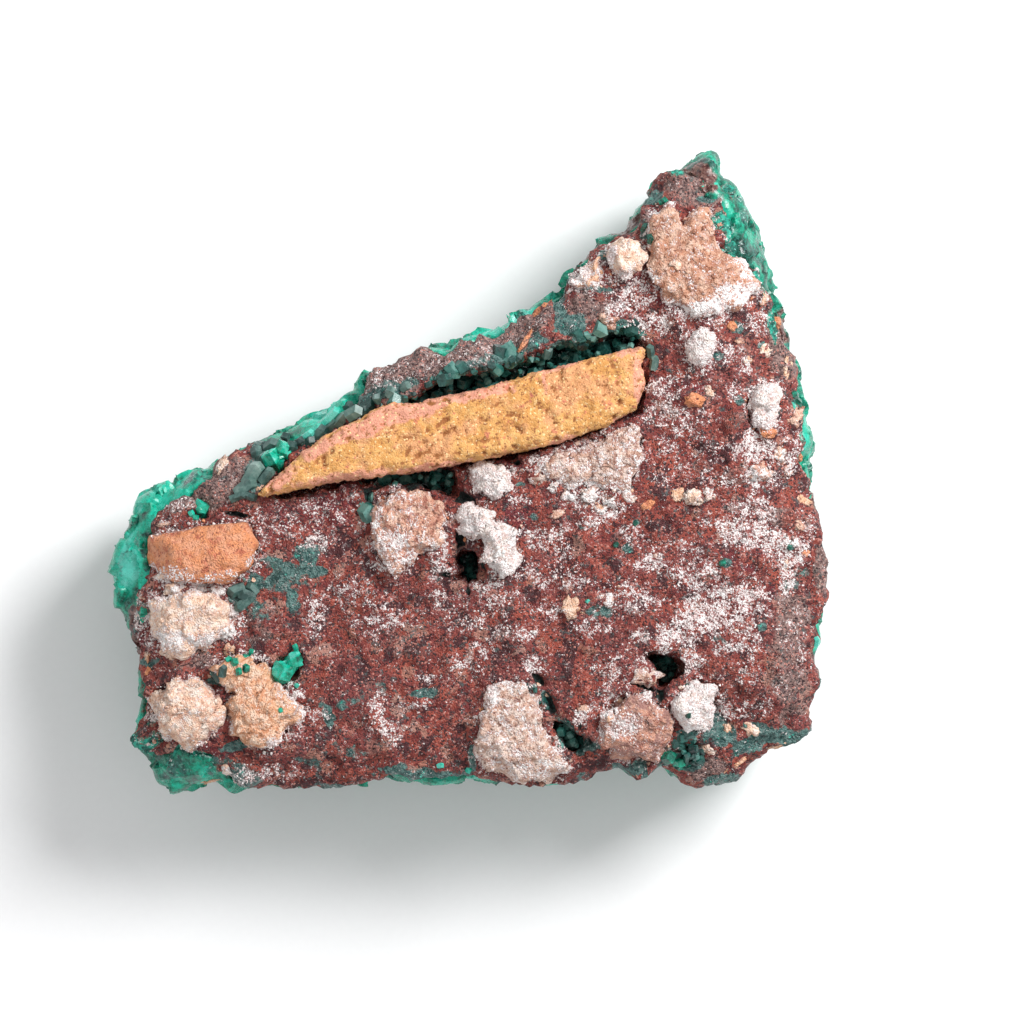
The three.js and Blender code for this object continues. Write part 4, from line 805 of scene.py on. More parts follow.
LUMP_SWELLS = [
    (22.8, -24.4, 2.6, 170, 0.9), (26.4, -24.6, 2.4, 180, 1.0), (28.0, 24.4, 3.0, 195, 1.5),
    (26.4, 27.6, 2.0, 200, 0.6), (0.9, -7.8, 2.4, 20, 0.6),
]
FLAT_FROM = 1.8  # a lump's top is pressed flat from this far below its highest point
LUMP_CELL = 0.22
LUMP_SWELL = 0.22

rock_tree = tree_of([breccia])
lump_pieces = []
for node, name, kind, knob_width, knob_height, rock_share in LUMPS:
    small_knobs = knob_width < 1
    lump = piece_from(node, name)
    new_skin(lump, LUMP_CELL, 16 if small_knobs else 3)
    points, outward = skin_of(lump)
    knobs = lumps(points, knob_width)
    push = LUMP_SWELL + 0.4 * knob_height * (knobs - 0.45)
    push = push + (0.12 + 0.65 * knob_height) * grain(points, 2.2, 5, 0.0, 0.52)
    push += (0.03 + 0.22 * knob_height) * grain(points, 0.6, 2, 7.0)
    points = points + outward * push[:, None]
    ragged = min(1.0, 3 * knob_height) * (0.3 if small_knobs else 1)
    points[:, 0] += 0.8 * ragged * grain(points, 2.0, 2, 15.0, 0.5)
    points[:, 1] += 0.8 * ragged * grain(points, 2.0, 2, 35.0, 0.5)
    top = np.percentile(points[:, 2], 98)
    points[:, 2] -= 0.45 * ragged * np.clip(points[:, 2] - top + FLAT_FROM, 0, None)
    points[:, 2] += 0.25 * ragged * (1 + grain(points, 1.4, 2, 55.0, 0.5)) * np.clip(outward[:, 2], 0, 1)
    points = swelled(points, LUMP_SWELLS)
    move_points(lump, points)
    fray = 0.55 * grain(points, 1.7, 4)
    rim = nearness(points, rock_tree, 1.1)
    frost = np.maximum(patch_cover(points, FROST, fray), 1.2 * np.clip(rim + 0.8 * fray - 0.3, 0, 0.55))
    # where the creases between the knobs lie, for the painted shade there
    crease = np.clip(1 - knobs * 2.2, 0, 1) * min(1.0, 2.4 * knob_height)
    frost = frost * np.clip(outward[:, 2] + 0.6, 0, 1)
    store(lump, frost=frost, crease=crease, rim=np.maximum(rim, rock_share))
    lump_pieces.append(lump)
    finish_piece(lump, LUMP_FINISHES[kind], kind + "_stone", node)

# %% [markdown]
# ## What the next pieces stand on
# Crystals, grains and small fragments are set on the stone that is already there. A ray tree answers two
# questions fast: whether a spot has open air before it or rock, and whether stone stands above it.

# %% Measure the stone so far


def open_air(points, outward, room=1.4):
    """1 where no rock stands within this distance before the point, else 0."""
    free = []
    for point, ahead in zip(points, outward):
        start = Vector(point) + 0.12 * Vector(ahead)
        free.append(rock_tree.ray_cast(start, Vector(ahead), room)[0] is None)
    return np.array(free, float)


def roofed(points, tree):
    """1 where stone stands straight above the point, so that it can't be seen from above, else 0."""
    up = Vector((0, 0, 1))
    return np.array([tree.ray_cast(Vector(p) + 0.05 * up, up)[0] is not None for p in points], float)


print("rock skin measured:", len(breccia.data.polygons), "faces")

# %% [markdown]
# ## Dioptase crystals
# Dioptase grows as short six-sided columns. Each ends in three slanting faces that meet in a point, with
# every second corner of the column standing lower. One recipe makes that shape at any radius and length,
# and many are joined into one piece. Each carries a stored tone, because a thin crystal lit from behind is
# turquoise and a thick one nearly black-green.

# %% Crystal recipe
CAP_FALL = 0.48  # how far the end faces fall from the tip to the nearer corners, in radii
HEXAGON = [(math.cos(math.radians(60 * k)), math.sin(math.radians(60 * k))) for k in range(6)]
CRYSTAL_FACES = [[k, (k + 1) % 6, 6 + (k + 1) % 6, 6 + k] for k in range(6)]
CRYSTAL_FACES += [[12, 6 + k, 7 + k, 6 + (k + 2) % 6] for k in (0, 2, 4)] + [[5, 4, 3, 2, 1, 0]]


def unit(directions):
    """The directions, each brought to a length of 1."""
    return directions / np.linalg.norm(directions, axis=1)[:, None]


def frames_along(ahead):
    """For each direction, three axes with the last along it and a random turn about it."""
    ahead = unit(ahead)
    side = unit(np.cross(ahead, dice.normal(size=ahead.shape)))
    return np.stack([side, np.cross(ahead, side), ahead], axis=2)


def crystal_points(spots, ahead, radii, lengths):
    """The corners of one crystal for each spot."""
    corners = np.zeros((len(spots), 13, 3))
    squeeze = dice.uniform(0.75, 1.0, len(spots))
    for k, (x, y) in enumerate(HEXAGON):
        for row in (k, 6 + k):
            corners[:, row, 0] = x * radii
            corners[:, row, 1] = y * radii * squeeze
        corners[:, 6 + k, 2] = lengths - radii * CAP_FALL * (1 + k % 2)
    corners[:, 12, 2] = lengths
    return np.einsum("nij,nkj->nki", frames_along(ahead), corners) + spots[:, None, :]


def join_copies(name, corners, tones, faces=CRYSTAL_FACES):
    """One piece from many copies of a shape, each with its own tone."""
    count, size = corners.shape[:2]
    mesh = bpy.data.meshes.new(name)
    every = [[size * i + v for v in face] for i in range(count) for face in faces]
    mesh.from_pydata(corners.reshape(-1, 3).tolist(), [], every)
    piece = put_in_scene(name, mesh)
    store(piece, tone=np.repeat(tones, size))
    return piece


def spots_on(piece, chance, count):
    """Random spots on a piece, most where the chance for each point is high, and their directions."""
    mesh, points = piece.data, points_of(piece.data)
    mesh.calc_loop_triangles()
    flat = np.zeros(len(mesh.loop_triangles) * 3, np.int32)
    mesh.loop_triangles.foreach_get("vertices", flat)
    corners = flat.reshape(-1, 3)
    a, b, c = (points[corners[:, i]] for i in range(3))
    across = np.cross(b - a, c - a)
    area = np.linalg.norm(across, axis=1) + 1e-12
    weight = area * chance[corners].mean(axis=1)
    picked = dice.choice(len(corners), count, p=weight / weight.sum())
    u, v = dice.random(count), dice.random(count)
    over = u + v > 1
    u[over], v[over] = 1 - u[over], 1 - v[over]
    a, b, c = a[picked], b[picked], c[picked]
    spots = a + (b - a) * u[:, None] + (c - a) * v[:, None]
    return spots, across[picked] / area[picked][:, None]


print("a crystal has", len(CRYSTAL_FACES), "faces")

# %% [markdown]
# ## Dioptase finish
# Dioptase is a green glass full of veils and cracks. Light goes some way in and is soaked up, which plain
# transmission, its high refraction and an absorbing inside give. The veils turn part of it to ordinary
# coloured scatter, so that the crust glows green against the rock instead of looking black.

# %% Dioptase finishes


def dioptase_finish(name, stops, soak, density, roughness, through=0.28, grown_over=False):
    """Green crystal; the stops are its colours from the darkest tone to the lightest. Where it is grown over
    it has small faces of its own, grey-green skin and brown film."""
    look = StoneFinish(name)
    veil = look.clouds(1.7, 5, 0.0, look.bend(2.0, 0.8))
    fine = look.clouds(0.5, 5, 5)
    mottle = look.ramp(look.sum_of(veil, fine, 0.5), 0.4, 1.1, (-0.5, 0.5))
    tones = look.add("ValToRGB", {0: look.sum_of(look.stored("tone"), mottle)})
    tones.color_ramp.elements[0].color = paint(stops[0])
    tones.color_ramp.elements[1].color = paint(stops[-1])
    for i, stop in enumerate(stops[1:-1]):
        tones.color_ramp.elements.new((i + 1) / (len(stops) - 1)).color = paint(stop)
    look.color = tones.outputs[0]
    crack = look.out("TexVoronoi", {"Vector": look.bend(0.9, 0.8), "Scale": 0.8}, feature="DISTANCE_TO_EDGE")
    look.coat(stops[-1], look.ramp(crack, 0.0, 0.05, (0.25, 0.0)))
    # painted glints: small spots in the lightest colour stand in for sparkles of light on the glass
    look.coat(stops[-1], look.clouds(0.24, 3, 61), 0.66, 0.74)
    height, depth = fine, 0.02
    if grown_over:
        soft = look.step(fine, 0.42, 0.60)
        skin = look.blend(soft, (12, 80, 72), (56, 128, 117))
        skin = look.grainy(skin, (30, 66, 62), (170, 210, 200), 0.20, 0.14)
        look.coat(skin, look.clouds(2.4, 6, 33, look.bend(1.6, 0.8)), 0.55, 0.66)
        film = look.blend(soft, (92, 46, 42), (134, 98, 88))
        film = look.grainy(film, (48, 30, 32), (176, 140, 132), 0.18, 0.12)
        look.coat(film, look.sum_of(veil, look.stored("film"), 0.8), 0.86, 1.06)
        height, depth = look.sum_of(fine, look.facet_height(0.9, look.bend(1.5, 0.3)), 6.0), 0.05
    glass = look.shader.inputs
    glass["Transmission Weight"].default_value = through
    glass["Specular IOR Level"].default_value = 0.25 if grown_over else 0.5
    glass["IOR"].default_value = 1.66
    inside = look.out("VolumeAbsorption", {"Color": paint(soak), "Density": density})
    look.fill(look.tree.nodes["Material Output"].inputs["Volume"], inside)
    return look.done(look.ramp(fine, 0.3, 0.7, (roughness, roughness + 0.25)), height, depth)


GREEN_STOPS = [(0, 44, 39), (0, 96, 77), (0, 172, 137), (14, 208, 176), (100, 226, 206)]
DARK_STOPS = [(12, 42, 41), (20, 80, 74), (48, 120, 110), (116, 168, 158)]
SMOKY_STOPS = [(20, 48, 46), (44, 84, 80), (92, 132, 124), (150, 178, 170)]
crust_glass = dioptase_finish("dioptase_crust", GREEN_STOPS, (70, 240, 195), 140.0, 0.16, grown_over=True)
green_glass = dioptase_finish("dioptase", GREEN_STOPS, (90, 240, 195), 140.0, 0.16)
dark_glass = dioptase_finish("deep_dioptase", DARK_STOPS, (70, 180, 155), 220.0, 0.22, 0.30)
smoky_glass = dioptase_finish("smoky_dioptase", SMOKY_STOPS, (110, 190, 170), 160.0, 0.36, 0.30)
print("dioptase finishes: crust, green, deep and smoky")

# %% [markdown]
# ## The dioptase crust
# The crust is a rind of crystals grown into each other. From above only its broken edge shows, a band of
# slanting glassy faces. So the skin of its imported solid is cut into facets, each tipped its own way, with
# sharp edges between them. Under its brow, where the crust grew into open space, whole crystals stand on it.
# Those near the face are tiny and sit deep, so that the outline stays where it was.

# %% Shape the crust
RIM_TONE_AND_LIGHT = [  # where the rim is painted lighter or darker, partly its own tone and partly painted light and shade: patches with a tone for their strength
    (-36.2, -9.6, 1.8, 3.8, 0.88), (-34, -9.6, 0.7, 3.6, 0.58), (-33.4, -3, 3.6, 1.6, 0.76, 30),
    (-35.4, -5.2, 2, 0.4, 0.22, 40), (-36.6, -15.6, 0.9, 2.2, 0.3), (-35, -11.6, 0.3, 2, 0.3, -20),
    (-29.6, -0.4, 3, 0.8, 0.62, 22), (-36.4, -14.6, 1.2, 1.6, 0.34), (-15, 6.4, 3.4, 1.6, 0.78, 34),
    (-20.4, 3.6, 2.4, 1, 0.45, 20), (-8, 12, 3, 0.8, 0.66, 28), (1.5, 14.6, 4, 0.8, 0.8, 16),
    (5.4, 16.4, 1.8, 0.8, 0.84, 24), (24.4, 33, 2.4, 1.8, 0.16), (27, 30.4, 0.8, 3, 0.3, 25),
    (29.4, 24.8, 1.8, 3.6, 0.34, 20), (28.6, 22.4, 1.8, 1.6, 0.16), (31.4, 20.6, 0.8, 2.4, 0.3, 10),
    (35.4, 4, 0.8, 2.2, 0.6), (35.2, -1, 0.9, 1.8, 0.42), (36.5, -17.9, 0.6, 0.9, 0.9),
    (-31.6, -31, 3.4, 2.6, 0.34), (-30.4, -33, 2.4, 0.9, 0.52), (-35.4, -27.6, 0.7, 2.2, 0.6),
    (-3, -31.8, 4.4, 0.6, 0.66), (1.6, -32.2, 3, 0.6, 0.62), (-14, -33, 5, 0.4, 0.7),
]
FILMED = [  # where a brown film of the rock covers the crust
    (22.6, 30.8, 2.6, 1.3, 1, 40), (24.4, 30.6, 1.8, 1.6), (-35.4, -17.4, 0.9, 3.6, 0.9),
    (-34.9, -24, 0.6, 2, 0.6), (33, 15, 1, 2.6, 0.8, 10), (36.6, -8, 1, 6), (36.2, -22, 1, 3.2, 0.9),
    (-24.5, 1.6, 1.6, 0.6, 0.8, 25), (-6, 11.6, 2.4, 0.5, 0.6, 25), (17, 26.4, 2.4, 0.8, 0.8, 45),
    (12.4, 23.4, 1.6, 0.8, 0.8, 40), (4, -32, 2, 0.6, 0.6), (-18, -33, 2, 0.5, 0.7),
    (28.6, -31.4, 2.4, 0.8, 1, 30),
]
CRYSTAL_COUNT = 3000
SMALL_RADII, LARGE_RADII = (0.12, 0.30), (0.40, 1.70)  # in sight from above, and under the brow
CRUST_FOOT = 0.35  # no crystal's tip comes nearer to the table than this
BROW_FROM = 8  # the brow stands out above this height
CRUST_CELL = 0.37
SHARP_FROM = math.radians(28)  # edges that turn more than this stay crisp


def tones_at(points):
    """The tone of the crust at each point: the listed patches of its own tone and of painted light and shade
    on top, and painted shade that makes it darker towards the table.
    """
    # painted shade: the lower the crust lies, the darker its tone
    tones = 0.30 + 0.012 * points[:, 2]
    high = fade_in(points[:, 2], BROW_FROM, 6)
    for x, y, long, wide, tone, *turn in RIM_TONE_AND_LIGHT:
        share = patch_cover(points, [(x, y, long, wide, 1, *turn)], 0.0) * high
        tones = tones * (1 - share) + tone * share
    return tones


crust = piece_from("dioptase_crust", "dioptase_crust_body")
new_skin(crust, CRUST_CELL, rounds=2)
points = points_of(crust.data)
brow = fade_in(points[:, 2], BROW_FROM, 4)
move_points(crust, swelled(melt(crust.data, points, brow, rounds=60)))
points, outward = skin_of(crust)
jog = 0.24 * brow + 0.28 * facets(points, 2.8) + (0.20 - 0.12 * brow) * facets(points + 40, 1.1)
points = points + outward * (jog * fade_in(points[:, 2], 0.8, 1.5))[:, None]
move_points(crust, points)
store(crust, film=patch_cover(points, FILMED, 0.5 * grain(points, 1.4, 4)),
      tone=tones_at(points) + 0.10 * grain(points, 1.8, 3, 2.0))
crust.data.set_sharp_from_angle(angle=SHARP_FROM)

crust_tree = skin_tree(crust, points)
chance = open_air(points, outward) * fade_in(points[:, 2], 1.2, 1.5) * (1 - 0.93 * brow)
spots, ahead = spots_on(crust, chance, CRYSTAL_COUNT)
under = roofed(spots + 0.3 * ahead, crust_tree)
ahead = unit(ahead + dice.normal(size=ahead.shape) * 0.38)
least = SMALL_RADII[0] + (LARGE_RADII[0] - SMALL_RADII[0]) * under
most = SMALL_RADII[1] + (LARGE_RADII[1] - SMALL_RADII[1]) * under
radii = least + (most - least) * dice.random(len(spots)) ** 2.3
lengths = radii * dice.uniform(1.9, 2.8, len(spots))
stand_out = dice.uniform(0.2, 0.7, len(spots)) * radii * np.where(under > 0, 1.0, 0.5)
roots = spots - ahead * (lengths - stand_out)[:, None]
tips = roots + ahead * lengths[:, None]
corners = crystal_points(roots, ahead, radii, lengths)
ends = corners.reshape(-1, 3)
hidden = np.maximum(roofed(ends, crust_tree), roofed(ends, rock_tree)).reshape(len(roots), -1).all(axis=1)
kept = ((under == 0) | hidden) & (tips[:, 2] > CRUST_FOOT) & (roots[:, 2] > CRUST_FOOT + 0.9 * radii)
tones = tones_at(roots[kept]) + dice.normal(size=kept.sum()) * 0.1
crust_crystals = join_copies("dioptase_crust_crystals", corners[kept], tones)
finish_piece(crust, crust_glass, "dioptase", "dioptase_crust")
finish_piece(crust_crystals, green_glass, "dioptase", smooth=False)
print("whole crystals on the crust:", kept.sum(), "of which under the brow:", int(under[kept].sum()))

stone_tree = tree_of([breccia, blade, crust] + lump_pieces)
DOWN = Vector((0, 0, -1))


def ground(x, y, high=60.0):
    """The point of the stone under x, y and the direction that it faces there on the whole. Off the edge it
    takes the nearest place on the stone towards its middle."""
    for inward in np.arange(0.0, 3.1, 0.3):
        share = 1 - inward / max(math.hypot(x, y), 5.0)
        hit = stone_tree.ray_cast(Vector((x * share, y * share, high)), DOWN)[0]
        if hit and hit.z > TOP_FROM:
            break
    beside = ((0.5, 0), (-0.5, 0), (0, 0.5), (0, -0.5))
    sides = [stone_tree.ray_cast(hit + Vector((a, b, 3.0)), DOWN) for a, b in beside]
    facing = sum((found[1] for found in sides if found[0]), Vector((0, 0, 1)))
    return hit, facing.normalized()


print("middle of the face stands at", round(ground(0, -14)[0].z, 2), "mm")

# %% [markdown]
# ## Crystals in the hollows
# Where the rock has an opening, dark crystals line it. From above they read as black glass with a few grey
# glints from faces that happen to tip towards the light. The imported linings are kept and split, and small
# crystals are set on them.

# %% Line the hollows
HOLLOWS = [  # node, piece, small crystals on its walls, tall ones, their radii, level of their tips
    ("crevice_dioptase", "crevice_crystals", 260, 150, (0.3, 1.0), (17.2, 21.6)),
    ("vug_under_blade_dioptase", "under_blade_crystals", 60, 22, (0.3, 0.85), (17.8, 20.6)),
    ("vug_middle_dioptase", "middle_hollow_crystals", 60, 12, (0.28, 0.62), (16.6, 19.4)),
    ("vug_front_dioptase", "front_hollow_crystals", 60, 16, (0.28, 0.62), (18.4, 21.0)),
    ("vug_right_dioptase", "right_hollow_crystals", 60, 14, (0.28, 0.62), (17.4, 20.6)),
    ("vug_corner_dioptase", "corner_hollow_crystals", 40, 12, (0.28, 0.62), (19.6, 21.4)),
]
BANKS = [  # where the dark crystals also grow up the rock beside an opening
    (-12.6, 4.6, 1.6, 0.8, 1, 30), (-8, 7.2, 3, 0.9, 1, 26), (-1, 9.9, 4.6, 0.9, 1, 12),
    (6, 11.6, 3.4, 1, 1, 16), (11.6, 13.4, 3.6, 1, 1, 18), (16.4, 14.6, 1.6, 1, 1, 20),
    (-8.6, -0.6, 2.6, 0.6, 0.8, 4), (-10.6, -3.4, 0.8, 1.4, 0.9, 20), (22.6, -28.4, 1.2, 1.2, 0.9),
    (10.2, -27.8, 1.8, 1, 0.9, -20), (7.4, -23.6, 0.5, 1.3, 0.9, 35), (17, -22.8, 1.8, 0.5, 0.4, -20),
]
BANK_COUNT = 520
STRAY = 0.45  # how far the small crystals stray from standing straight out of the wall


def small_crystals(spots, ahead, least, extra, power, slimness, sunk):
    """Roots, directions, radii and lengths of small crystals, each partly sunk. Their radii run from least
    to least + extra, and a higher power makes more of them thin. Slimness is the length in radii."""
    ahead = ahead + dice.normal(size=ahead.shape) * STRAY
    radii = least + extra * dice.random(len(spots)) ** power
    lengths = radii * dice.uniform(*slimness, len(spots))
    return spots - unit(ahead) * (sunk * lengths)[:, None], ahead, radii, lengths


points = points_of(breccia.data) / MM
in_bank = patch_cover(points, BANKS, 0.0) * (points[:, 2] > TOP_FROM)
spots, ahead = spots_on(breccia, in_bank ** 2 + 1e-9, BANK_COUNT)
corners = crystal_points(*small_crystals(spots / MM, ahead, 0.22, 0.78, 2.2, (1.5, 2.8), 0.80))
bank = join_copies("crevice_bank_crystals", corners, dice.uniform(0.15, 1.0, BANK_COUNT))
finish_piece(bank, dark_glass, "deep_dioptase", smooth=False)

for node, name, small, tall, widths, levels in HOLLOWS:
    lining = piece_from(node, name)
    split_faces(lining, 1)
    points, outward = skin_of(lining)
    chance = open_air(points, outward, 0.7) * np.clip(outward[:, 2] + 0.6, 0, 1) + 1e-4
    spots, ahead = spots_on(lining, chance, small)
    on_walls = small_crystals(spots, ahead, 0.16, 0.34, 2, (1.8, 2.6), 0.5)
    tones = dice.uniform(0.0, 0.7, small) ** 1.5
    corners = crystal_points(*on_walls)

    floor = np.clip(outward[:, 2] - 0.4, 0, 1) + 1e-6  # the tall ones stand on the floor
    spots, ahead = spots_on(lining, floor, tall)
    ahead = dice.normal(size=ahead.shape) * 0.16 + (0, 0, 1)
    lengths = dice.uniform(*levels, tall) - spots[:, 2]
    radii = widths[0] + (widths[1] - widths[0]) * dice.random(tall) ** 1.6
    tones = np.append(tones, dice.uniform(0.15, 0.95, tall) ** 1.1)
    corners = np.concatenate([corners, crystal_points(spots, ahead, radii, lengths)])

    store(lining, tone=0.25 + 0.2 * grain(points, 0.9, 2))
    grown = join_copies(name + "_set", corners, tones)
    finish_piece(lining, dark_glass, "deep_dioptase", node, smooth=False)
    finish_piece(grown, dark_glass, "deep_dioptase", smooth=False)

# %% [markdown]
# ## Crystals on the face
# A few groups of crystals stand on the red face itself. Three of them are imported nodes: their small solids
# are kept. Round the left end of the blade lie flat grey-green columns, and bright turquoise ones catch the
# light on the ridge above it.

# %% Set the crystals on the face
FACE_CRYSTALS = [  # x, y, direction in degrees, tilt up in degrees, radius, length, tone
    (-24.6, -12.4, 200, 8, 0.75, 2, 0.45), (-23.6, -13, 160, 12, 0.7, 1.9, 0.35),
    (-24, -13.9, 220, 10, 0.6, 1.8, 0.5), (-22.9, -12.2, 130, 14, 0.5, 1.5, 0.6),
    (-25.9, -20.8, 80, 10, 0.5, 1.4, 0.3), (-26.6, -21.4, 120, 12, 0.5, 1.3, 0.4),
    (-23.6, -1.6, 40, 12, 0.75, 2.6, 0.62), (-22.8, -0.2, 60, 10, 0.85, 2.8, 0.72),
    (-22, 1, 75, 16, 0.8, 2.4, 0.66), (-21.4, -0.4, 50, 14, 0.6, 2, 0.58),
    (-22.6, 1.9, 100, 25, 0.7, 1.8, 0.5), (-21, 2.9, 40, 30, 0.7, 1.8, 0.55),
    (-24.4, -2.6, 20, 15, 0.5, 1.8, 0.5), (-23, -2.6, -20, 20, 0.45, 1.4, 0.4),
    (-18.9, 2.6, 60, 30, 0.7, 1.6, 0.3), (-18, 3.1, 30, 40, 0.6, 1.4, 0.2),
    (-17, 3.2, 50, 30, 0.65, 1.6, 0.3), (-15.9, 4.2, 40, 25, 0.7, 1.8, 0.4),
    (-14.6, 4.9, 35, 20, 0.75, 2, 0.6), (-13.4, 5.6, 50, 25, 0.85, 2.2, 0.75),
    (-12.2, 6.2, 30, 20, 0.8, 2, 0.7), (-12.9, 6.9, 10, 35, 0.6, 1.6, 0.35),
    (-11.2, 6.4, 60, 30, 0.5, 1.4, 0.3), (-19.6, 3.6, 110, 30, 0.6, 1.5, 0.35),
    (-8.4, 8.4, 70, 40, 0.55, 1.3, 0.7), (-9.8, 7.7, 120, 40, 0.5, 1.2, 0.5),
    (-6.8, 8.9, 40, 30, 0.5, 1.2, 0.6), (6.9, 11.4, 60, 55, 0.65, 1.3, 0.95),
    (9.2, 11.9, 30, 30, 0.6, 1.5, 0.75), (10.4, 12.4, 20, 25, 0.6, 1.5, 0.6),
    (8, 12.6, 80, 35, 0.6, 1.5, 0.6), (16.2, 14.6, 80, 40, 0.5, 1.3, 0.3),
    (14.8, 13.9, 60, 40, 0.5, 1.3, 0.4), (17.2, 14, 110, 40, 0.4, 1.1, 0.3),
    (12.6, 12.8, 70, 30, 0.5, 1.3, 0.45), (5, 11.9, 30, 30, 0.5, 1.2, 0.4),
    (18.8, 12.6, 100, 20, 0.5, 1.6, 0.55), (19.2, 11.4, 80, 20, 0.5, 1.6, 0.75),
]
BRIGHT_CRYSTALS = [
    (-20.4, 1.6, 30, 50, 0.55, 1.2, 0.95), (-19.7, 2.2, 80, 40, 0.6, 1.3, 1),
    (-20.1, 2.6, 140, 45, 0.5, 1.1, 0.9), (-19.2, 1.8, 10, 50, 0.45, 1, 0.8),
    (-17.2, 3.9, 35, 25, 0.5, 1.6, 0.95), (-16.4, 4.5, 40, 20, 0.55, 1.8, 0.9),
    (-15.4, 5.2, 40, 20, 0.6, 1.9, 0.95), (-14.5, 6.1, 45, 20, 0.6, 1.8, 0.95),
    (-13.7, 7, 50, 20, 0.55, 1.7, 0.85), (-29.3, -4.4, 90, 60, 0.4, 1, 0.9),
    (-28.9, -4.8, 40, 50, 0.4, 0.9, 0.7), (-20.6, -20.3, 15, 20, 0.5, 1.6, 0.7),
    (-19.6, -20, 35, 25, 0.55, 1.5, 0.75), (-19.4, -21.1, -40, 30, 0.5, 1.3, 0.85),
    (-18.6, -19.2, 80, 40, 0.4, 1.1, 0.8), (-18.4, -18.4, 100, 40, 0.35, 0.9, 0.7),
    (-18.3, -22.4, 0, 60, 0.3, 0.6, 0.85), (-24.6, -19.8, 60, 40, 0.5, 0.9, 0.45),
    (-23.6, -19.4, 20, 40, 0.5, 0.9, 0.4), (-23.4, -20.6, -30, 40, 0.5, 0.9, 0.35),
    (-24.2, -20.9, -80, 40, 0.4, 0.8, 0.4), (-25.4, -19.6, 150, 40, 0.4, 0.7, 0.5),
    (-23, -18.8, 60, 50, 0.35, 0.7, 0.55), (20.9, -29.9, 10, 40, 0.8, 1.5, 0.3),
    (22, -30.6, -20, 40, 0.7, 1.3, 0.4), (34.4, 7.5, 90, 60, 0.7, 1.2, 0.35),
    (34, 8.2, 140, 60, 0.5, 1, 0.3), (9.2, -26.3, 120, 30, 0.45, 1.1, 0.6),
    (-3.2, -30.8, 10, 30, 0.3, 0.8, 0.9), (-0.2, -31.2, 60, 30, 0.35, 0.8, 0.75),
    (12.2, -13.5, 0, 60, 0.25, 0.5, 0.9), (36.4, -17.8, 80, 30, 0.4, 1.1, 0.95),
    (22.6, -22.4, 0, 60, 0.35, 0.6, 0.1), (22.7, -25.4, 0, 60, 0.35, 0.6, 0.1),
    (26.3, -9.5, 0, 60, 0.4, 0.7, 0.2), (-19.8, -24.9, 0, 50, 0.3, 0.5, 0.6),
    (18.3, 25.6, 60, 40, 0.5, 1.1, 0.2), (18.8, 24.4, 90, 40, 0.5, 1.1, 0.2),
    (20.2, 28.4, 30, 40, 0.4, 1, 0.5), (15.2, -7.6, 0, 60, 0.35, 0.6, 0.2),
    (17.2, -5.4, 0, 60, 0.35, 0.6, 0.2), (33.4, -7.9, 0, 60, 0.35, 0.6, 0.2),
]


def set_on_face(name, rows, glass, slot):
    """Crystals laid on the face at the listed places, each sunk a little into the stone under it."""
    table = np.array(rows, float)
    turn, tilt = np.radians(table[:, 2]), np.radians(table[:, 3])
    ahead = np.stack([np.cos(turn) * np.cos(tilt), np.sin(turn) * np.cos(tilt), np.sin(tilt)], axis=1)
    under = np.array([ground(x, y)[0][:] for x, y in table[:, :2]])
    radii, lengths, tones = table[:, 4:].T
    roots = under - ahead * (0.45 * lengths)[:, None] + np.array([0, 0, 1]) * (0.25 * radii)[:, None]
    crystals = join_copies(name, crystal_points(roots, ahead, radii, lengths), tones)
    finish_piece(crystals, glass, slot, smooth=False)


set_on_face("smoky_face_crystals", FACE_CRYSTALS, smoky_glass, "deep_dioptase")
set_on_face("bright_face_crystals", BRIGHT_CRYSTALS, green_glass, "dioptase")
for node in ("dioptase_by_peach_clast", "dioptase_by_blade", "dioptase_by_terracotta_clast"):
    group = piece_from(node, node.replace("dioptase_by", "crystals_by"))
    split_faces(group, 2)
    points, outward = skin_of(group)
    move_points(group, points + outward * (0.22 * facets(points, 0.9))[:, None])
    store(group, tone=0.65 + 0.5 * grain(points, 0.9, 3))
    finish_piece(group, green_glass, "dioptase", node, smooth=False)

# %% [markdown]
# ## Small fragments
# Between the big lumps the breccia is peppered with crumbs of the same pale and orange stone, a millimetre
# or two across. Each is a ball of small faces, stretched, frayed by noise and sunk two thirds into the rock,
# so that it reads as bedded and not as dropped there.

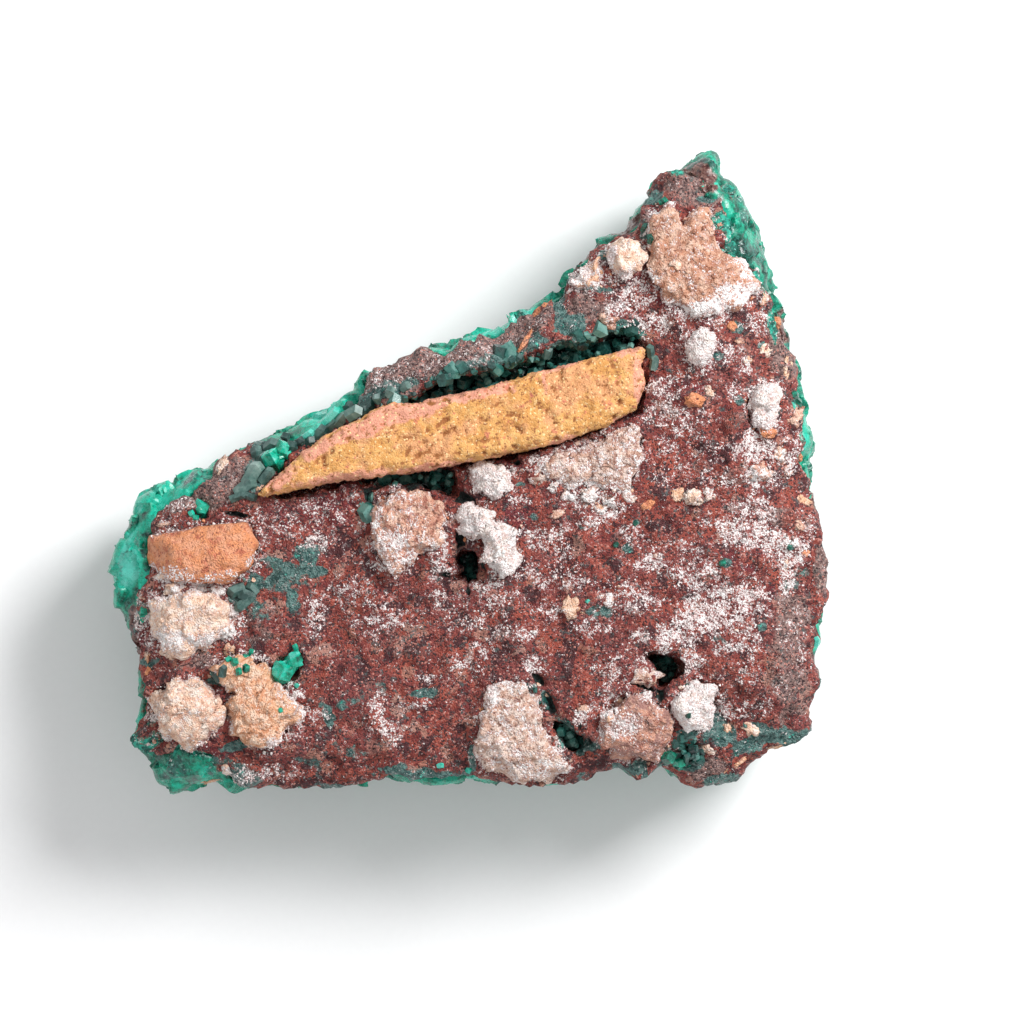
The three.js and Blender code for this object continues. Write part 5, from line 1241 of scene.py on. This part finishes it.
# %% Bed the small fragments
FRAGMENTS = [  # x, y, half length, half width, turn in degrees, kind of stone
    (31, 12.7, 0.9, 0.75, 60, "cream"), (33.2, 10.6, 0.5, 1.5, -10, "peach"),
    (25, 8.4, 0.8, 0.7, 0, "cream"), (23.3, 7.4, 1.1, 0.75, -10, "terracotta"),
    (27.2, 15.2, 1.1, 0.5, -40, "terracotta"), (32.2, 15.7, 0.45, 0.7, 0, "terracotta"),
    (30.7, 18.2, 0.65, 0.6, 0, "peach"), (7.3, 16.9, 0.6, 1.6, -40, "terracotta"),
    (5.6, 13.6, 0.35, 1.2, -30, "terracotta"), (14.4, 15.9, 1, 0.8, 0, "rose"),
    (-30.9, -12.1, 1.2, 0.9, 20, "cream"), (-28.6, -12.2, 0.9, 0.7, 0, "white"),
    (-26.6, -12.4, 0.8, 0.6, 0, "white"), (-24.9, -14.4, 0.9, 0.7, 30, "white"),
    (-31.6, -19.4, 0.8, 0.6, -20, "cream"), (-27.2, -18.4, 1.1, 0.6, -10, "peach"),
    (-24.9, -18.5, 0.9, 0.6, 0, "peach"), (7.2, -0.8, 0.9, 0.6, 15, "pale"),
    (8.6, -1.4, 0.8, 0.7, 0, "white"), (10.3, -2.4, 0.9, 0.7, 30, "pale"), (12.4, -2.4, 1.1, 0.7, 0, "pale"),
    (14.6, -3, 0.9, 0.6, 20, "white"), (16.6, -2.6, 0.8, 0.7, 0, "pale"), (9, -4.4, 0.8, 0.5, 20, "rose"),
    (10.6, -14.2, 1.1, 1.1, 0, "peach"), (14.4, -13.4, 0.9, 0.8, 0, "pale"),
    (21.6, -2.4, 0.9, 0.75, 0, "peach"), (23.3, -2.7, 1, 0.8, 0, "cream"), (24.9, -2.6, 0.8, 0.8, 0, "pale"),
    (34.9, -3, 0.9, 0.6, 0, "peach"), (33, 0.4, 1, 0.8, 0, "rose"), (31.2, 4.1, 0.9, 0.7, 0, "terracotta"),
    (32.3, 1.9, 0.8, 0.8, 0, "peach"), (30.2, -0.2, 1.2, 0.9, 0, "rose"),
    (34.6, -5.8, 1.7, 0.6, -10, "rose"), (29.4, -26.9, 1, 1, 0, "cream"),
    (26.9, -26.9, 0.6, 0.5, 0, "peach"), (-2.5, -0.9, 1.3, 0.85, 10, "rose"),
    (1, -24.8, 0.35, 0.3, 0, "terracotta"), (-25.7, -31.3, 0.7, 0.6, 0, "cream"),
    (-34.1, -19.2, 0.4, 0.8, 0, "peach"), (-34, -20.8, 0.3, 0.5, 0, "terracotta"),
    (-32.2, -18.9, 1, 0.5, -20, "cream"), (-26.2, 0.6, 0.5, 1.3, -25, "cream"),
    (-32.3, -5.5, 0.9, 0.25, 5, "rose"), (-31.9, -11.3, 1.1, 0.9, 0, "cream"),
    (-10, -1.2, 1, 0.55, 25, "pale"), (-25.4, -16.8, 0.9, 0.8, 40, "white"),
    (34, 5.6, 0.9, 1.3, -15, "rose"), (34.9, 1.6, 0.5, 0.6, 0, "terracotta"),
    (35, -8.6, 0.5, 0.4, 0, "terracotta"), (33, -9.5, 0.5, 1, -15, "cream"),
    (36.6, -12, 0.3, 1, -15, "pale"), (18.3, -21.3, 1.4, 1, 10, "pale"), (11.8, -24.8, 0.7, 0.6, 0, "rose"),
    (14.4, -25.6, 0.6, 0.5, 0, "peach"), (9.8, 11.2, 0.9, 0.2, 15, "pale"),
    (-22.2, -1.7, 0.5, 0.3, 40, "peach"), (18.4, -3.6, 0.8, 0.6, 20, "terracotta"),
    (13.4, -3.8, 0.9, 0.6, 0, "peach"), (28.2, 13.6, 0.5, 0.4, 0, "rose"),
    (28.9, 11.6, 0.5, 0.5, 0, "peach"), (-27.6, -33, 1.4, 0.4, 20, "peach"),
    (28, -30.6, 1.8, 0.4, 38, "peach"), (32.4, -28.9, 1.6, 0.3, 20, "peach"),
    (24.6, -29.2, 1.1, 0.7, -15, "cream"), (15.5, -23.8, 0.5, 0.4, 0, "peach"),
    (21.4, 21.6, 0.6, 0.5, 0, "cream"),
]


def bumpy(ball_points, middle, unevenness, octaves, number, shift):
    """A ball's points pushed in and out to an uneven lump with small faces, another one for each number."""
    size = middle + unevenness * grain(ball_points, 0.9, octaves, shift, 0.4)
    return ball_points * (size + 0.2 * facets(ball_points + number, 0.8))[:, None]


def crumb(x, y, long, wide, turn, number):
    """The points and faces of one fragment, in millimetres, where it lies on the stone."""
    points, faces = ball(3)
    low = min(long, wide)
    points = bumpy(points, 0.9, 0.6, 5, number, number * 3.1)
    spot, facing = ground(x, y)
    lean = Vector((0, 0, 1)).rotation_difference(facing).to_matrix()
    turned = np.array(lean @ Matrix.Rotation(math.radians(turn), 3, "Z"))
    return (points * (long, wide, 0.60 * low) - (0, 0, 0.2 * low)) @ turned.T + np.array(spot), faces


for kind in sorted({row[5] for row in FRAGMENTS}):
    points, faces = [], []
    for number, row in enumerate(FRAGMENTS):
        if row[5] == kind:
            some, theirs = crumb(*row[:5], number)
            faces += [[len(points) * len(some) + v for v in face] for face in theirs]
            points.append(some)
    points = np.vstack(points)
    mesh = bpy.data.meshes.new("small_" + kind + "_stone_fragments")
    mesh.from_pydata(points.tolist(), [], faces)
    bedded = put_in_scene(mesh.name, mesh)
    store(bedded, frost=patch_cover(points, FROST, 0.5 * grain(points, 1.7, 4)) * 0.8,
          crease=np.zeros(len(points)), rim=0.5 * nearness(points, rock_tree, 0.5))
    finish_piece(bedded, LUMP_FINISHES[kind], kind + "_stone")

# %% [markdown]
# ## Crumbs
# Crumbs of the same stones lie on the lumps and in the frost round them, half sunk. They break the plain
# outlines of the lumps.

# %% Scatter the crumbs
CRUMB_KINDS = 6
CRUMB_RADII = (0.11, 0.36)
CRUMBS_PER_AREA = 0.6  # on a lump, for each square millimetre of it that faces up
ROCK_CRUMBS = {  # how many lie on the rock
    "white": 240, "cream": 130, "pale": 120, "rose": 120, "peach": 50, "terracotta": 24, "salmon": 60,
}
BALL, CRUMB_FACES = ball(2)
CRUMB_SHAPES = np.array([bumpy(BALL, 0.85, 0.5, 4, k, 3.1 * k) for k in range(CRUMB_KINDS)])


def spots_on_all(hosts):
    """Random spots on several finished pieces, each given with a chance for each point and a count."""
    found = [spots_on(piece, chance, count) for piece, chance, count in hosts]
    return np.vstack([spots / MM for spots, _ in found]), np.vstack([ahead for _, ahead in found])


def scatter_crumbs(kind, hosts):
    """Crumbs of this stone, half sunk in the stone of the hosts."""
    spots, ahead = spots_on_all(hosts)
    radii = CRUMB_RADII[0] + (CRUMB_RADII[1] - CRUMB_RADII[0]) * dice.random(len(spots)) ** 2
    sizes = radii[:, None] * dice.uniform(0.6, 1.2, (len(spots), 3)) * (1, 1, 0.7)
    shapes = CRUMB_SHAPES[dice.integers(CRUMB_KINDS, size=len(spots))] * sizes[:, None, :]
    corners = np.einsum("nij,nkj->nki", frames_along(ahead), shapes) + spots[:, None, :]
    crumbs = join_copies(kind + "_stone_crumbs", corners, dice.random(len(spots)), CRUMB_FACES)
    points = corners.reshape(-1, 3)
    store(crumbs, frost=0.8 * patch_cover(points, FROST, 0.5 * grain(points, 1.7, 4)),
          crease=np.repeat(0.8 * dice.random(len(spots)) ** 2, len(BALL)), rim=np.zeros(len(points)))
    finish_piece(crumbs, LUMP_FINISHES[kind], kind + "_stone")


for kind, count in ROCK_CRUMBS.items():
    hosts = [(breccia, crumbly, count)]
    for row, lump in zip(LUMPS, lump_pieces):
        if row[2] == kind and kind != "terracotta":
            facing = np.clip(points_of(lump.data, "normal")[:, 2] - 0.1, 0, 1) + 1e-6
            top = sum(p.area for p in lump.data.polygons if p.normal.z > UP_FROM) / MM ** 2
            hosts.append((lump, facing, int(CRUMBS_PER_AREA * top)))
    scatter_crumbs(kind, hosts)

# %% [markdown]
# ## The loose sugar
# The finishes already turn white where the frost lies. Real grains are set on top of that, because sugar
# stands up from the stone, catches the light one face at a time and breaks the edges of the lumps. Each
# grain is an eight-sided crystal about a quarter of a millimetre across.

# %% Set the sugar grains
GRAIN_RADII = (0.06, 0.15)
GRAINS_ON_ROCK, GRAINS_ON_LUMP = 8000, 300
GRAINS_FROM = 12.0  # no grain lies below this height
THIN_FROST, THICK_FROST = 0.25, 0.4  # none grow below the first, and a lump needs the second somewhere
GRAIN_FACES = [[0, 1, 4], [1, 2, 4], [2, 3, 4], [3, 0, 4], [1, 0, 5], [2, 1, 5], [3, 2, 5], [0, 3, 5]]
GRAIN_SHAPE = np.array([(1, 0, 0), (0, 1, 0), (-1, 0, 0), (0, -1, 0), (0, 0, 1.5), (0, 0, -1.5)])

hosts = []
for piece, count in [(breccia, GRAINS_ON_ROCK)] + [(lump, GRAINS_ON_LUMP) for lump in lump_pieces]:
    points = points_of(piece.data) / MM
    frost = np.zeros(len(points), np.float32)
    piece.data.attributes["frost"].data.foreach_get("value", frost)
    clump = np.clip(0.45 + 1.6 * grain(points, 0.7, 3, 13.0, 0.5), 0, 1) ** 2
    chance = (np.clip(frost - THIN_FROST, 0, 1) ** 1.5 * clump + 1e-6) * (points[:, 2] > GRAINS_FROM)
    if frost.max() > THICK_FROST:
        hosts.append((piece, chance, count))
spots, ahead = spots_on_all(hosts)
radii = dice.uniform(*GRAIN_RADII, len(spots))
lean = frames_along(ahead + dice.normal(size=ahead.shape) * 0.6)
corners = np.einsum("nij,kj->nki", lean, GRAIN_SHAPE) * radii[:, None, None] + spots[:, None, :]
sugar_grains = join_copies("white_sugar_grains", corners, dice.random(len(spots)), GRAIN_FACES)

look = Finish("white_sugar")
look.color = look.blend(look.stored("tone"), (198, 176, 174), (246, 243, 241))
look.coat((206, 180, 176), look.clouds(0.5, 3), 0.50, 0.66)
finish_piece(sugar_grains, look.done(0.35), "white_stone", smooth=False)

# %% [markdown]
# ## The card
# The specimen lies on a sheet of white card. It is wide enough to fill every view and has the faint tooth of
# real card, so that its shade falls off softly.

# %% Lay the card
CARD_SIDE = 2.4
bpy.ops.mesh.primitive_grid_add(x_subdivisions=24, y_subdivisions=24, size=CARD_SIDE)
card = bpy.context.object
card.name = "white_card"
look = Finish("white_card")
look.color = look.blend(look.clouds(0.8, 3), (244, 244, 245), (248, 248, 249))
card.data.materials.append(look.done(0.9))
print("card:", CARD_SIDE, "m on each side")
